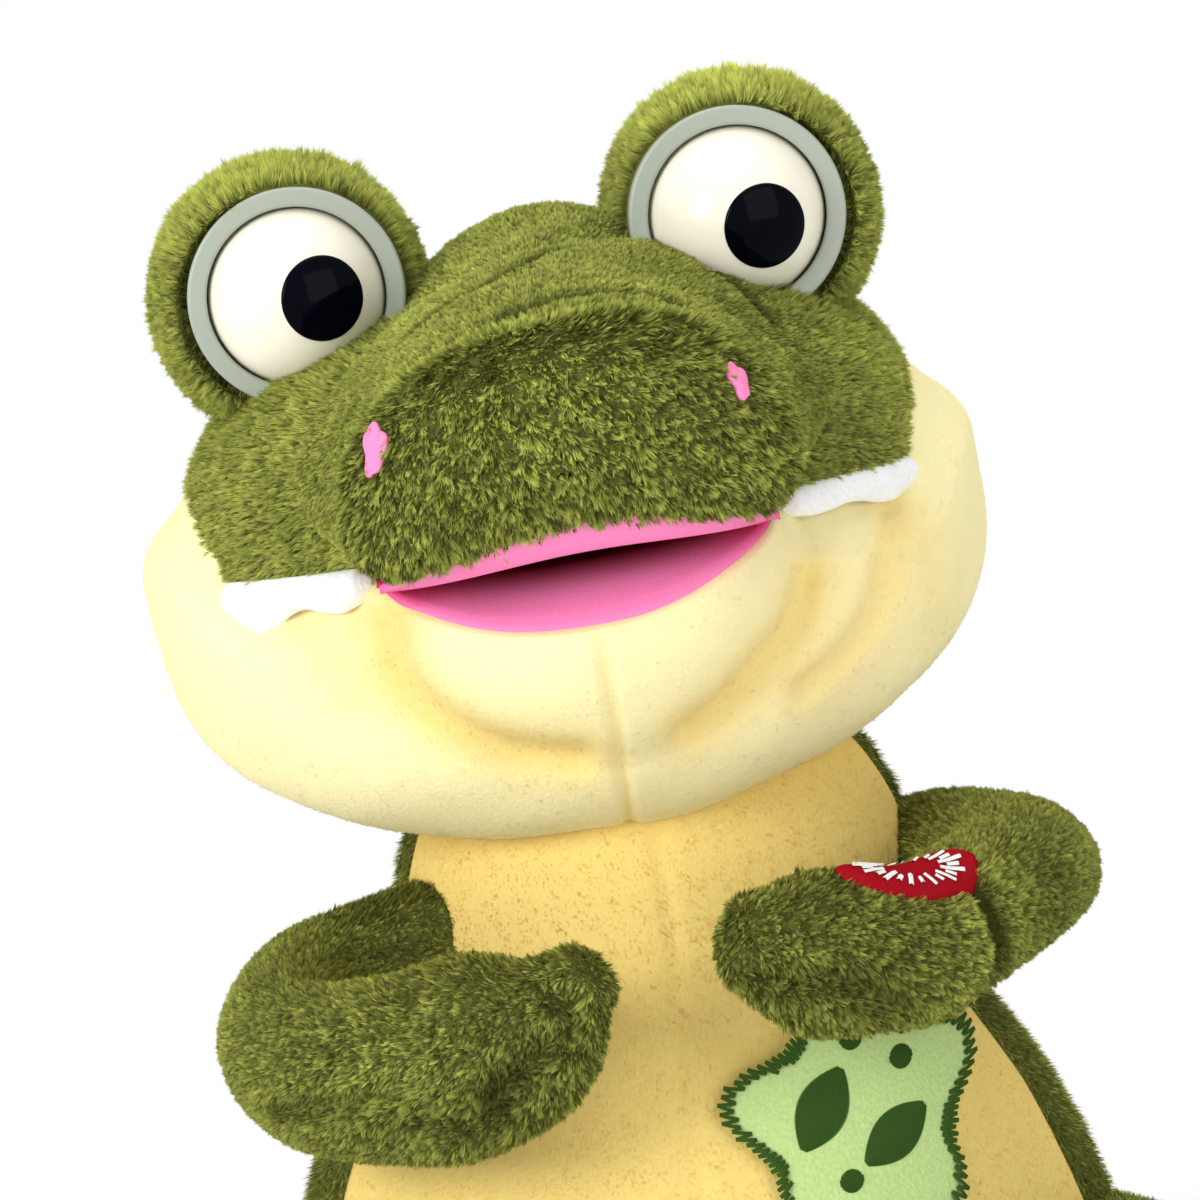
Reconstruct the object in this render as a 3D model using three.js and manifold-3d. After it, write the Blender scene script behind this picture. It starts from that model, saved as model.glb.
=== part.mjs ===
import * as THREE from "three";
import { mergeVertices } from "three/addons/utils/BufferGeometryUtils.js";
import Module from "manifold-3d";

const wasm = await Module();
wasm.setup();

// All sizes are in millimetres. +Z is up, the face looks along -Y, +X is the toy's own left side.

// Gaps
const SEAT_GAP = 0.3;
const RUN_GAP = 0.4;
const PLUSH_GAP = 0.4;

// Body: a pear with a round neck dome, on which the head sways
const NECK_Z = 125;
const NECK_BALL = 52;
const NECK_POCKET_GAP = 1.2;
const BODY_BOTTOM = { width: 66, depth: 57, z: 0 };
const BODY_PROFILE = [
  [BODY_BOTTOM.width, BODY_BOTTOM.depth, BODY_BOTTOM.z],
  [79, 65, 14],
  [84, 67, 45],
  [74, 66, 80],
  [61, 59, 105],
  [NECK_BALL, NECK_BALL, NECK_Z],
];
const BODY_BACK_SHIFT = 5;
const BELLY_SEAM_Y = -28;

// Base with the battery bay
const PLATE_RIM = 8;
const PLATE = {
  width: BODY_BOTTOM.width - PLATE_RIM,
  depth: BODY_BOTTOM.depth - PLATE_RIM,
  thickness: 4,
};
const CELL = { radius: 7.1, length: 49, nub: 2.6, pitch: 14.9 };
const BAY = { frontY: 2, wall: 1.8, roof: 1.6, endRoom: 3.4 };
const DOOR = { thickness: 2, recess: 0.6, ledge: 2 };
const KNOB = { length: 9, width: 5, travel: 3, y: -18 };

// Gear train of the sway, in a plane across the body
const GEAR_MODULE = 1;
const NECK_TEETH = 40;
const ARM_TEETH = 28;
const DRIVE_TEETH = 14;
const GEAR_FRONT = -12.5;
const GEAR_BACK = -6.5;
const ARM_DROP = 7;
const BACKLASH = 0.36;

// Gearbox
const BOX = { halfWidth: 42, bottom: 74, top: 138, front: -22, split: -1, back: 24, wall: 2 };
const NECK_PIN = 2.5;
const ARM_PIN = 2;
const BOX_LEG = { inset: 2, width: 6, front: 8, back: 16 };
const BOARD = { halfWidth: 26, low: 10, high: 50, thickness: 1.6, chip: 8, chipRise: 1.8, plug: 10, plugRise: 2.6 };
const MOTOR = { radius: 10, flat: 7.6, length: 24, shaft: 1 };
const SWAY_LIMIT = 7;

// Head
const HEAD = { z: 204, width: 83, front: 64, back: 60, up: 47, down: 55, power: 2.4 };
const FACE_SPLIT_Z = 204;
const CHEEK_FLAP = { inner: 68, top: 225, back: 22 };
const SNOUT_SECTIONS = [
  // y, half width, top z, bottom z
  [14, 18, 256, 212],
  [-10, 27, 265, 206],
  [-45, 36, 260, 204.5],
  [-75, 41.5, 252, 204.5],
  [-90, 40.5, 244, 205.5],
  [-97, 33, 234, 211],
];
const SNOUT_POWER = 2.3;

// Eyes
const EYE = { x: 42.5, y: -20, z: 257, radius: 17.5, back: 5 };
const RING = { inner: 18.1, outer: 20.7, front: -27, back: -12 };
const HOOD = { radius: 28, y: -8 };
const PUPIL = { radius: 8, rise: -3, proud: 0.5, depth: 1.6 };
const EYE_REST_DEG = 16;
const EYE_PIVOT = 1.5;
const LEVER = { length: 16, halfWidth: 3, halfHeight: 2, pin: 1.5 };
const LINK_BAR = { top: 248, thickness: 4, halfDepth: 4, rod: 3, endRoom: 5.5 };
const COIL = { radius: 9.4, halfLength: 13, bore: 3.6 };
const EYE_TURN_DEG = 20;

// Jaw, built closed about its hinge and turned down to the open rest
const JAW = { y: -8, z: 198, openDeg: 7, pin: 2, reach: 70, halfWidth: 36, plate: 3, lining: 2 };
const CHIN = { y: -40, width: 42, depth: 38, drop: 29, back: -31 };
const JAW_TEETH = 30;
const JAW_PINION_TEETH = 12;
const JAW_GEAR = { inner: 24, outer: 29 };
const UPPER_LINING = { bottom: 202.5, thickness: 1.7, halfWidth: 37, front: -88, back: -24 };

// Skull frame
const SKULL = { halfWidth: 41, wall: 3, front: -20, back: 24, floor: 184.3, deck: 236 };

// Trims
const TOOTH = { drop: 9, thickness: 3, count: 3, inner: 44, outer: 66 };
const NOSTRIL = { x: 33.5, y: -88, z: 231, rx: 3.4, ry: 3.2, rz: 6 };
const PATCH = { x: 33, z: 86, points: 5, outer: 25, inner: 17, thickness: 1.2 };

// Arms: path points with the stuffing radius at each
const ARM_RIGHT_PATH = [
  [-46, -9.5, 122, 16],
  [-60, -16, 120.5, 18.5],
  [-66, -34, 115.5, 19.5],
  [-55, -56, 113, 19.5],
  [-38, -72, 114.5, 19],
  [-22, -80, 119, 15.5],
  [-13, -84, 123, 7],
];
const ARM_LEFT_PATH = [
  [46, -8, 124, 15],
  [61, -14, 124, 17],
  [70, -29, 121, 17.5],
  [65, -47, 118, 15.5],
  [52, -63, 116, 13.5],
  [38, -74, 118.5, 14],
  [26, -80, 122, 13],
  [16, -84, 126, 7],
];
const ARM_BODY_GAP = 2;
const LEVER_REACH = 64;
const LEVER_HALF_HEIGHT = 4;
const PRESS = { along: 0.6, turnDeg: 64, travel: 1.5 };
const PRESS_PATCH = { rx: 15, ry: 9.5, above: 1.2, below: 0.4 };
const PRESS_CASE = { radius: 8, top: -5, bottom: -15 };
const PRESS_STEM = 3.6;

// Legs and tail
const LEG_PATH = [
  [52, 12, 42, 19],
  [67, -4, 33, 25],
  [80, -32, 27.5, 27],
  [79, -66, 25, 26],
  [77, -90, 26, 27],
  [76, -106, 26, 19],
  [76, -111, 26, 6],
];
const TAIL_PATH = [
  [0, 44, 38, 34],
  [0, 72, 34, 32],
  [0, 102, 26, 25],
  [0, 132, 19, 17],
  [0, 152, 15, 10],
  [0, 159, 14, 3],
];

const COLOURS = {
  green: [0x7b8440, 0.95, 0],
  yellow: [0xf4e8a8, 0.95, 0],
  pink: [0xe8749f, 0.95, 0],
  white: [0xf8f8f4, 0.9, 0],
  red: [0xa31822, 0.85, 0],
  patch: [0xbcd489, 0.9, 0],
  eye: [0xf8f6e4, 0.2, 0],
  pupil: [0x060814, 0.15, 0],
  ring: [0xc6d0c4, 0.45, 0],
  shell: [0x4a4e50, 0.55, 0],
  gear: [0xe9e4d2, 0.5, 0],
  steel: [0xb4b8bc, 0.35, 1],
  copper: [0xa8683c, 0.45, 1],
  board: [0x2f6a3c, 0.6, 0],
  cell: [0x33506a, 0.4, 0],
};

const group = new THREE.Group();

function radians(degrees) {
  return (degrees * Math.PI) / 180;
}

// Solids from three.js geometry, joined and cut by manifold-3d
function solidOf(geometry) {
  const bare = geometry.clone();
  bare.deleteAttribute("normal");
  bare.deleteAttribute("uv");
  const merged = mergeVertices(bare, 1e-4);
  const index = merged.index.array;
  const kept = [];
  for (let i = 0; i < index.length; i += 3) {
    const [a, b, c] = [index[i], index[i + 1], index[i + 2]];
    if (a !== b && b !== c && c !== a) {
      kept.push(a, b, c);
    }
  }
  const mesh = new wasm.Mesh({
    numProp: 3,
    vertProperties: new Float32Array(merged.attributes.position.array),
    triVerts: new Uint32Array(kept),
  });
  return new wasm.Manifold(mesh);
}

function piece(name, solid, colour) {
  const mesh = solid.getMesh();
  const geometry = new THREE.BufferGeometry();
  geometry.setAttribute("position", new THREE.BufferAttribute(new Float32Array(mesh.vertProperties), 3));
  geometry.setIndex(new THREE.BufferAttribute(new Uint32Array(mesh.triVerts), 1));
  geometry.computeVertexNormals();
  const [tint, roughness, metalness] = COLOURS[colour];
  const material = new THREE.MeshStandardMaterial({ color: tint, roughness, metalness });
  const node = new THREE.Mesh(geometry, material);
  node.name = name;
  group.add(node);
}

function moved(solid, matrix) {
  return solid.transform(matrix.elements);
}

function box(x0, x1, y0, y1, z0, z1) {
  const geometry = new THREE.BoxGeometry(x1 - x0, y1 - y0, z1 - z0);
  geometry.translate((x0 + x1) / 2, (y0 + y1) / 2, (z0 + z1) / 2);
  return solidOf(geometry);
}

function rod(start, end, radius, sides = 16) {
  const from = new THREE.Vector3(...start);
  const to = new THREE.Vector3(...end);
  const along = to.clone().sub(from);
  const geometry = new THREE.CylinderGeometry(radius, radius, along.length(), sides);
  const turn = new THREE.Quaternion();
  turn.setFromUnitVectors(new THREE.Vector3(0, 1, 0), along.clone().normalize());
  geometry.applyQuaternion(turn);
  const middle = from.add(to).multiplyScalar(0.5);
  geometry.translate(middle.x, middle.y, middle.z);
  return solidOf(geometry);
}

function ball(centre, rx, ry, rz, sides = 22) {
  const geometry = new THREE.SphereGeometry(1, sides, Math.round(sides * 0.6));
  geometry.rotateX(Math.PI / 2);
  geometry.scale(rx, ry, rz);
  geometry.translate(...centre);
  return solidOf(geometry);
}

function power(value, exponent) {
  return Math.sign(value) * Math.abs(value) ** exponent;
}

// A closed skin over rings of points, each end closed by a fan
function skin(rings) {
  const count = rings[0].length;
  const points = rings.flat();
  const triangles = [];
  for (let r = 0; r + 1 < rings.length; r += 1) {
    for (let i = 0; i < count; i += 1) {
      const a = r * count + i;
      const b = r * count + ((i + 1) % count);
      triangles.push(a, b, a + count, b, b + count, a + count);
    }
  }
  const ends = [[0, true], [rings.length - 1, false]];
  for (const [r, first] of ends) {
    const centre = points.length;
    const middle = new THREE.Vector3();
    rings[r].forEach((point) => middle.add(point));
    points.push(middle.multiplyScalar(1 / count));
    for (let i = 0; i < count; i += 1) {
      const a = r * count + i;
      const b = r * count + ((i + 1) % count);
      triangles.push(...(first ? [b, a, centre] : [a, b, centre]));
    }
  }
  const geometry = new THREE.BufferGeometry().setFromPoints(points);
  geometry.setIndex(triangles);
  geometry.computeVertexNormals();
  const solid = solidOf(geometry);
  if (solid.volume() > 0) {
    return solid;
  }
  const turned = [];
  for (let i = 0; i < triangles.length; i += 3) {
    turned.push(triangles[i], triangles[i + 2], triangles[i + 1]);
  }
  geometry.setIndex(turned);
  return solidOf(geometry);
}

function ovalRing(centre, side, rise, rSide, rRise, count, squareness = 2) {
  const ring = [];
  for (let i = 0; i < count; i += 1) {
    const angle = (i / count) * Math.PI * 2;
    const across = power(Math.cos(angle), 2 / squareness) * rSide;
    const over = power(Math.sin(angle), 2 / squareness) * rRise;
    ring.push(centre.clone().addScaledVector(side, across).addScaledVector(rise, over));
  }
  return ring;
}

// A stuffed limb: a round section carried along a smooth path, its radius changing on the way,
// with the rings closer together towards both ends
function limbFrame(path, t) {
  const centres = new THREE.CatmullRomCurve3(path.map(([x, y, z]) => new THREE.Vector3(x, y, z)));
  const radii = new THREE.CatmullRomCurve3(path.map(([, , , r], i) => new THREE.Vector3(i, r, 0)));
  const along = centres.getTangent(t);
  const side = new THREE.Vector3(0, 0, 1).cross(along).normalize();
  const rise = along.clone().cross(side).normalize();
  return { centre: centres.getPoint(t), radius: radii.getPoint(t).y, along, side, rise };
}

function limb(path, grow = 0, steps = 11, sides = 14) {
  const rings = [];
  for (let i = 0; i <= steps; i += 1) {
    const t = 0.5 - 0.5 * Math.cos((Math.PI * i) / steps);
    const { centre, radius, along, side, rise } = limbFrame(path, t);
    const endShift = i === 0 ? -grow : i === steps ? grow : 0;
    const grown = Math.max(radius + grow, 1);
    rings.push(ovalRing(centre.addScaledVector(along, endShift), side, rise, grown, grown, sides));
  }
  return skin(rings);
}

const X_AXIS = new THREE.Vector3(1, 0, 0);
const Y_AXIS = new THREE.Vector3(0, 1, 0);
const Z_AXIS = new THREE.Vector3(0, 0, 1);

// Outline of the body at a height, all sides pushed out by grow
function bodySolid(grow = 0) {
  const profile = new THREE.CatmullRomCurve3(BODY_PROFILE.map((row) => new THREE.Vector3(...row)));
  const rings = [];
  const lowSteps = 9;
  const domeSteps = 6;
  for (let i = 0; i <= lowSteps; i += 1) {
    const row = profile.getPoint(i / lowSteps);
    const shift = BODY_BACK_SHIFT * (1 - row.z / NECK_Z);
    const z = i === 0 ? row.z - grow : row.z;
    const centre = new THREE.Vector3(0, shift, z);
    rings.push(ovalRing(centre, X_AXIS, Y_AXIS, row.x + grow, row.y + grow, 30));
  }
  for (let i = 1; i <= domeSteps; i += 1) {
    const lift = radians((i / domeSteps) * 82);
    const radius = (NECK_BALL + grow) * Math.cos(lift);
    const centre = new THREE.Vector3(0, 0, NECK_Z + (NECK_BALL + grow) * Math.sin(lift));
    rings.push(ovalRing(centre, X_AXIS, Y_AXIS, radius, radius, 30));
  }
  return skin(rings);
}

// The head without snout and hoods: a swollen oval, higher above the cheeks than below
function headSolid(grow = 0) {
  const rings = [];
  const rows = 11;
  const sides = 28;
  const bend = 2 / HEAD.power;
  for (let r = 0; r <= rows; r += 1) {
    const tilt = radians(-86 + (172 * r) / rows);
    const height = (tilt < 0 ? HEAD.down : HEAD.up) + grow;
    const level = power(Math.cos(tilt), bend);
    const ring = [];
    for (let i = 0; i < sides; i += 1) {
      const turn = (i / sides) * Math.PI * 2;
      const depth = (Math.sin(turn) < 0 ? HEAD.front : HEAD.back) + grow;
      const x = (HEAD.width + grow) * level * power(Math.cos(turn), bend);
      const y = depth * level * power(Math.sin(turn), bend);
      ring.push(new THREE.Vector3(x, y, HEAD.z + height * power(Math.sin(tilt), bend)));
    }
    rings.push(ring);
  }
  return skin(rings);
}

function snoutSolid(grow = 0) {
  const tops = new THREE.CatmullRomCurve3(SNOUT_SECTIONS.map(([y, w, top]) => new THREE.Vector3(w, y, top)));
  const floors = new THREE.CatmullRomCurve3(SNOUT_SECTIONS.map(([y, w, , low]) => new THREE.Vector3(w, y, low)));
  const rings = [];
  const steps = 10;
  for (let i = 0; i <= steps; i += 1) {
    const top = tops.getPoint(i / steps);
    const floor = floors.getPoint(i / steps);
    const endShift = i === 0 ? grow : i === steps ? -grow : 0;
    const middle = new THREE.Vector3(0, top.y + endShift, (top.z + floor.z) / 2);
    const rise = (top.z - floor.z) / 2 + grow;
    rings.push(ovalRing(middle, X_AXIS, Z_AXIS, top.x + grow, rise, 20, SNOUT_POWER));
  }
  return skin(rings);
}

// Involute gear teeth, all round or as a wedge from the gear's centre; the phase is in degrees
function toothWedge(teeth, firstTooth, lastTooth, phase, addendum, from, to) {
  const pitch = (GEAR_MODULE * teeth) / 2;
  const base = pitch * Math.cos(radians(20));
  const root = pitch - 1.25 * GEAR_MODULE;
  const tip = pitch + addendum * GEAR_MODULE;
  const involute = (radius) => {
    const angle = Math.acos(Math.min(base / radius, 1));
    return Math.tan(angle) - angle;
  };
  const half = (radius) => {
    const atPitch = Math.PI / (2 * teeth) - BACKLASH / (4 * pitch);
    return atPitch + involute(pitch) - involute(Math.max(radius, base));
  };
  const radii = [root, pitch, tip];
  const full = lastTooth - firstTooth + 1 === teeth;
  const points = full ? [] : [[0, 0]];
  const step = (2 * Math.PI) / teeth;
  for (let k = firstTooth; k <= lastTooth; k += 1) {
    const middle = radians(phase) + k * step;
    const rising = radii.map((radius) => [radius, middle - half(radius)]);
    const falling = radii.map((radius) => [radius, middle + half(radius)]).reverse();
    for (const [radius, angle] of [...rising, ...falling]) {
      points.push([radius * Math.cos(angle), radius * Math.sin(angle)]);
    }
  }
  const shape = new THREE.Shape(points.map(([x, y]) => new THREE.Vector2(x, y)));
  const geometry = new THREE.ExtrudeGeometry(shape, { depth: to - from, bevelEnabled: false });
  geometry.translate(0, 0, from);
  return solidOf(geometry);
}

// A full pinion about the z axis with a bore for its shaft
function pinion(teeth, phase, from, to, bore) {
  const hole = rod([0, 0, from - 1], [0, 0, to + 1], bore, 12);
  return toothWedge(teeth, 0, teeth - 1, phase, 0.9, from, to).subtract(hole);
}

// Carries a gear drawn in x and y into the plane across the body: its y becomes z, its z becomes -y
const ACROSS = new THREE.Matrix4().makeRotationX(Math.PI / 2);
// Carries a gear drawn in x and y into the side plane: its x becomes y, its y becomes z, its z becomes x
const SIDEWAYS = new THREE.Matrix4().makeBasis(Y_AXIS, Z_AXIS, X_AXIS);

function across(solid, x, z) {
  return moved(solid, new THREE.Matrix4().makeTranslation(x, 0, z).multiply(ACROSS));
}

function sideways(solid, y, z) {
  return moved(solid, new THREE.Matrix4().makeTranslation(0, y, z).multiply(SIDEWAYS));
}

// A small motor lying along z: a can with two flats and a shaft
function motorSolid(backEnd, frontEnd, shaftEnd) {
  const can = rod([0, 0, backEnd], [0, 0, frontEnd], MOTOR.radius, 24);
  const flats = box(-MOTOR.flat, MOTOR.flat, -MOTOR.radius, MOTOR.radius, backEnd - 1, frontEnd + 1);
  const shaft = rod([0, 0, frontEnd - 1], [0, 0, shaftEnd], MOTOR.shaft, 12);
  return can.intersect(flats).add(shaft);
}

// Places derived from the sizes above
const neckPitch = (GEAR_MODULE * NECK_TEETH) / 2;
const armPitch = (GEAR_MODULE * ARM_TEETH) / 2;
const drivePitch = (GEAR_MODULE * DRIVE_TEETH) / 2;
const armDistance = neckPitch + armPitch;
const armX = Math.sqrt(armDistance ** 2 - ARM_DROP ** 2);
const armZ = NECK_Z - ARM_DROP;
const armTilt = THREE.MathUtils.radToDeg(Math.asin(ARM_DROP / armDistance));
const driveZ = NECK_Z - neckPitch - drivePitch;
const armSwing = (SWAY_LIMIT * NECK_TEETH) / ARM_TEETH;
const bayBack = BAY.frontY + CELL.pitch * 3 + 2 * BAY.wall;
const bayHalf = CELL.length / 2 + BAY.endRoom;
const bayTop = PLATE.thickness + 2 * CELL.radius + 1;
const yokeTop = SKULL.floor - SEAT_GAP;
const pinShift = -LEVER.length * Math.sin(radians(EYE_REST_DEG));
const pinY = EYE.y + LEVER.length * Math.cos(radians(EYE_REST_DEG));
const barBottom = LINK_BAR.top - LINK_BAR.thickness;
const barMid = (LINK_BAR.top + barBottom) / 2;

// Torso cavity, open in front at the belly seam
function torsoCavity() {
  const side = BOX.halfWidth + 0.5;
  const boardRoom = SEAT_GAP + BOARD.thickness + BOARD.plugRise + 0.5;
  const upper = box(-side, side, BELLY_SEAM_Y - 5, BOX.back + boardRoom, BOX.bottom - 1, BOX.top + 1);
  const lower = box(-side, side, BELLY_SEAM_Y - 5, BOX.back + 1, -1, BOX.bottom);
  const bayRoom = bayHalf + DOOR.ledge + 2 + PLUSH_GAP;
  const bay = box(-bayRoom, bayRoom, BAY.frontY - 2, bayBack + PLUSH_GAP, -1, bayTop + BAY.roof + 1);
  return upper.add(lower).add(bay);
}

function plateOutline(grow, z0, z1) {
  const low = ovalRing(new THREE.Vector3(0, BODY_BACK_SHIFT, z0), X_AXIS, Y_AXIS, PLATE.width + grow,
    PLATE.depth + grow, 36);
  const high = low.map((point) => new THREE.Vector3(point.x, point.y, z1));
  return skin([low, high]);
}

const plush = bodySolid();
const slotReach = LEVER_HALF_HEIGHT + (LEVER_REACH - armX) * Math.tan(radians(armSwing)) + 2;
const armSlots = box(-LEVER_REACH - 20, LEVER_REACH + 20, GEAR_FRONT - 2, GEAR_BACK + 2, armZ - slotReach,
  armZ + slotReach);
const postHalf = 10;
const postSweep = postHalf + NECK_BALL * Math.tan(radians(SWAY_LIMIT)) + 3;
const neckSlot = box(-postSweep, postSweep, GEAR_FRONT - 2, GEAR_BACK + 2, BOX.top - 5, NECK_Z + NECK_BALL + 5);
const seatHole = plateOutline(PLUSH_GAP, -1, PLATE.thickness + 0.5);

const backHalf = box(-200, 200, BELLY_SEAM_Y + PLUSH_GAP / 2, 200, -20, 300);
const frontHalf = box(-200, 200, -200, BELLY_SEAM_Y - PLUSH_GAP / 2, -20, 300);
const bodyBack = plush.intersect(backHalf).subtract(torsoCavity()).subtract(armSlots).subtract(neckSlot)
  .subtract(seatHole);
piece("body_back_plush", bodyBack, "green");
piece("belly_plush", plush.intersect(frontHalf).subtract(seatHole), "yellow");

// Belly patch: a rounded star lying on the belly
function starOutline() {
  const points = [];
  const count = PATCH.points * 6;
  for (let i = 0; i < count; i += 1) {
    const angle = (i / count) * Math.PI * 2 + Math.PI / 2;
    const wave = 0.5 + 0.5 * Math.cos(angle * PATCH.points - (Math.PI / 2) * PATCH.points);
    const radius = PATCH.inner + (PATCH.outer - PATCH.inner) * wave ** 1.5;
    points.push(new THREE.Vector2(radius * Math.cos(angle), radius * Math.sin(angle)));
  }
  return new THREE.Shape(points);
}
const starPrism = new THREE.ExtrudeGeometry(starOutline(), { depth: 90, bevelEnabled: false });
const patchSkin = bodySolid(SEAT_GAP + PATCH.thickness).subtract(bodySolid(SEAT_GAP));
const star = across(solidOf(starPrism), PATCH.x, PATCH.z);
piece("belly_patch", star.intersect(patchSkin), "patch");

// Legs and tail, cut by the body and flattened by the table
const clearBody = bodySolid(PLUSH_GAP);
const table = box(-300, 300, -300, 300, -100, 0);
const mirrored = (path) => path.map(([x, y, z, r]) => [-x, y, z, r]);
piece("leg_left_plush", limb(LEG_PATH).subtract(clearBody).subtract(table), "green");
piece("leg_right_plush", limb(mirrored(LEG_PATH)).subtract(clearBody).subtract(table), "green");
piece("tail_plush", limb(TAIL_PATH, 0, 9).subtract(clearBody).subtract(table), "green");

// Base plate with battery bay, speaker wall and switch slot
const bayOuter = box(-bayHalf - BAY.wall, bayHalf + BAY.wall, BAY.frontY, bayBack, 0, bayTop + BAY.roof);
const bayInner = box(-bayHalf, bayHalf, BAY.frontY + BAY.wall, bayBack - BAY.wall, -1, bayTop);
const doorRoom = box(-bayHalf - DOOR.ledge - SEAT_GAP, bayHalf + DOOR.ledge + SEAT_GAP,
  BAY.frontY + BAY.wall - SEAT_GAP, bayBack - BAY.wall + SEAT_GAP, -1, DOOR.recess + DOOR.thickness + SEAT_GAP);
const doorFrame = box(-bayHalf - DOOR.ledge - 2, bayHalf + DOOR.ledge + 2, BAY.frontY, bayBack, 0,
  PLATE.thickness + 1);
const speakerZ = 46;
const speakerRadius = 19;
const wallFront = BELLY_SEAM_Y + 1;
const speakerWall = box(-24, 24, wallFront, wallFront + 2.2, PLATE.thickness - 1, speakerZ + speakerRadius + 3)
  .subtract(rod([0, wallFront - 1, speakerZ], [0, wallFront + 4, speakerZ], speakerRadius - 2.5, 24));
const knobSlot = box(-KNOB.length / 2 - 1, KNOB.length / 2 + KNOB.travel + 1, KNOB.y - KNOB.width / 2 - 0.6,
  KNOB.y + KNOB.width / 2 + 0.6, -1, PLATE.thickness + 1);
const knobCover = box(-KNOB.length / 2 - 5, KNOB.length / 2 + KNOB.travel + 5, KNOB.y - KNOB.width / 2 - 4,
  KNOB.y + KNOB.width / 2 + 4, PLATE.thickness - 1, PLATE.thickness + 4)
  .subtract(box(-KNOB.length / 2 - 3, KNOB.length / 2 + KNOB.travel + 3, KNOB.y - KNOB.width / 2 - 2,
    KNOB.y + KNOB.width / 2 + 2, PLATE.thickness - 2, PLATE.thickness + 2.4));
const plate = plateOutline(0, 0, PLATE.thickness).add(bayOuter).add(doorFrame).subtract(bayInner)
  .subtract(doorRoom).add(speakerWall).add(knobCover).subtract(knobSlot);
piece("base_plate", plate, "shell");

const knobStem = box(-KNOB.length / 2, KNOB.length / 2, KNOB.y - KNOB.width / 2, KNOB.y + KNOB.width / 2, 1,
  PLATE.thickness + 1);
const knobFlange = box(-KNOB.length / 2 - 1.6, KNOB.length / 2 + 1.6, KNOB.y - KNOB.width / 2 - 1.6,
  KNOB.y + KNOB.width / 2 + 1.6, PLATE.thickness + SEAT_GAP, PLATE.thickness + 2);
piece("power_switch_knob", knobStem.add(knobFlange), "gear");

// Battery door with its screw
const doorZ = DOOR.recess;
const doorFront = BAY.frontY + BAY.wall;
const doorBack = bayBack - BAY.wall;
const screwX = bayHalf - 2.2;
const screwY = (doorFront + doorBack) / 2 - CELL.pitch / 2;
const door = box(-bayHalf - DOOR.ledge, bayHalf + DOOR.ledge, doorFront, doorBack, doorZ, doorZ + DOOR.thickness);
const screwHole = rod([screwX, screwY, -1], [screwX, screwY, 10], 1.5, 16);
const screwSink = rod([screwX, screwY, -1], [screwX, screwY, doorZ + 1.1], 2.8, 16);
piece("battery_door", door.subtract(screwHole).subtract(screwSink), "shell");
const screwHead = rod([screwX, screwY, doorZ + 0.1], [screwX, screwY, doorZ + 0.8], 2.5, 16);
const screwShank = rod([screwX, screwY, doorZ + 0.5], [screwX, screwY, doorZ + DOOR.thickness + 0.2], 1.2, 12);
piece("door_screw", screwHead.add(screwShank), "steel");

// Three cells side by side with the contact strips at their ends
const cellZ = DOOR.recess + DOOR.thickness + 0.8 + CELL.radius;
["front", "middle", "rear"].forEach((name, i) => {
  const y = BAY.frontY + BAY.wall + CELL.pitch * (i + 0.5);
  const turn = i % 2 === 0 ? 1 : -1;
  const half = CELL.length / 2;
  const can = rod([-half * turn, y, cellZ], [(half - 1.5) * turn, y, cellZ], CELL.radius, 20);
  const nub = rod([(half - 2) * turn, y, cellZ], [half * turn, y, cellZ], CELL.nub, 12);
  piece(`battery_${name}`, can.add(nub), "cell");
});
for (const [name, side] of [["left", 1], ["right", -1]]) {
  const outer = bayHalf - SEAT_GAP;
  const strip = box(Math.min(side * outer, side * (outer - 0.8)), Math.max(side * outer, side * (outer - 0.8)),
    BAY.frontY + BAY.wall + 1, bayBack - BAY.wall - 1, cellZ - 5, cellZ + 5);
  const withStuds = [0, 1, 2].reduce((solid, i) => {
    const y = BAY.frontY + BAY.wall + CELL.pitch * (i + 0.5);
    const reach = CELL.length / 2 + SEAT_GAP;
    return solid.add(rod([side * (outer - 0.4), y, cellZ], [side * reach, y, cellZ], 2.4, 12));
  }, strip);
  piece(`contact_strip_${name}`, withStuds, "steel");
}

// Speaker behind the belly, a basket with a magnet
const speakerFront = wallFront + 2.2 + SEAT_GAP;
const speakerProfile = [
  [0, 3], [9, 2], [16.5, 0], [speakerRadius, 0], [speakerRadius, 1.6], [16, 2.4], [12, 8], [12, 9], [12, 14], [0, 14],
].map(([radius, depth]) => new THREE.Vector2(radius, depth));
const speakerLathe = new THREE.LatheGeometry(speakerProfile, 20);
speakerLathe.translate(0, speakerFront, speakerZ);
piece("speaker", solidOf(speakerLathe), "steel");

// Gearbox halves
function trayShell(front, back, openFront) {
  const outer = box(-BOX.halfWidth, BOX.halfWidth, front, back, BOX.bottom, BOX.top);
  const innerFront = openFront ? front - 1 : front + BOX.wall;
  const innerBack = openFront ? back - BOX.wall : back + 1;
  const inner = box(-BOX.halfWidth + BOX.wall, BOX.halfWidth - BOX.wall, innerFront, innerBack,
    BOX.bottom + BOX.wall, BOX.top - BOX.wall);
  return outer.subtract(inner);
}
const pinHoles = [[0, NECK_Z, NECK_PIN], [armX, armZ, ARM_PIN], [-armX, armZ, ARM_PIN]].reduce(
  (solid, [x, z, radius]) => {
    const hole = rod([x, BOX.front - 5, z], [x, BOX.back + 5, z], radius + SEAT_GAP, 16);
    return solid ? solid.add(hole) : hole;
  }, null);
const trayFront = trayShell(BOX.front, BOX.split - SEAT_GAP / 2, false).subtract(pinHoles).subtract(armSlots)
  .subtract(neckSlot);
piece("gearbox_front", trayFront, "shell");

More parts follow.
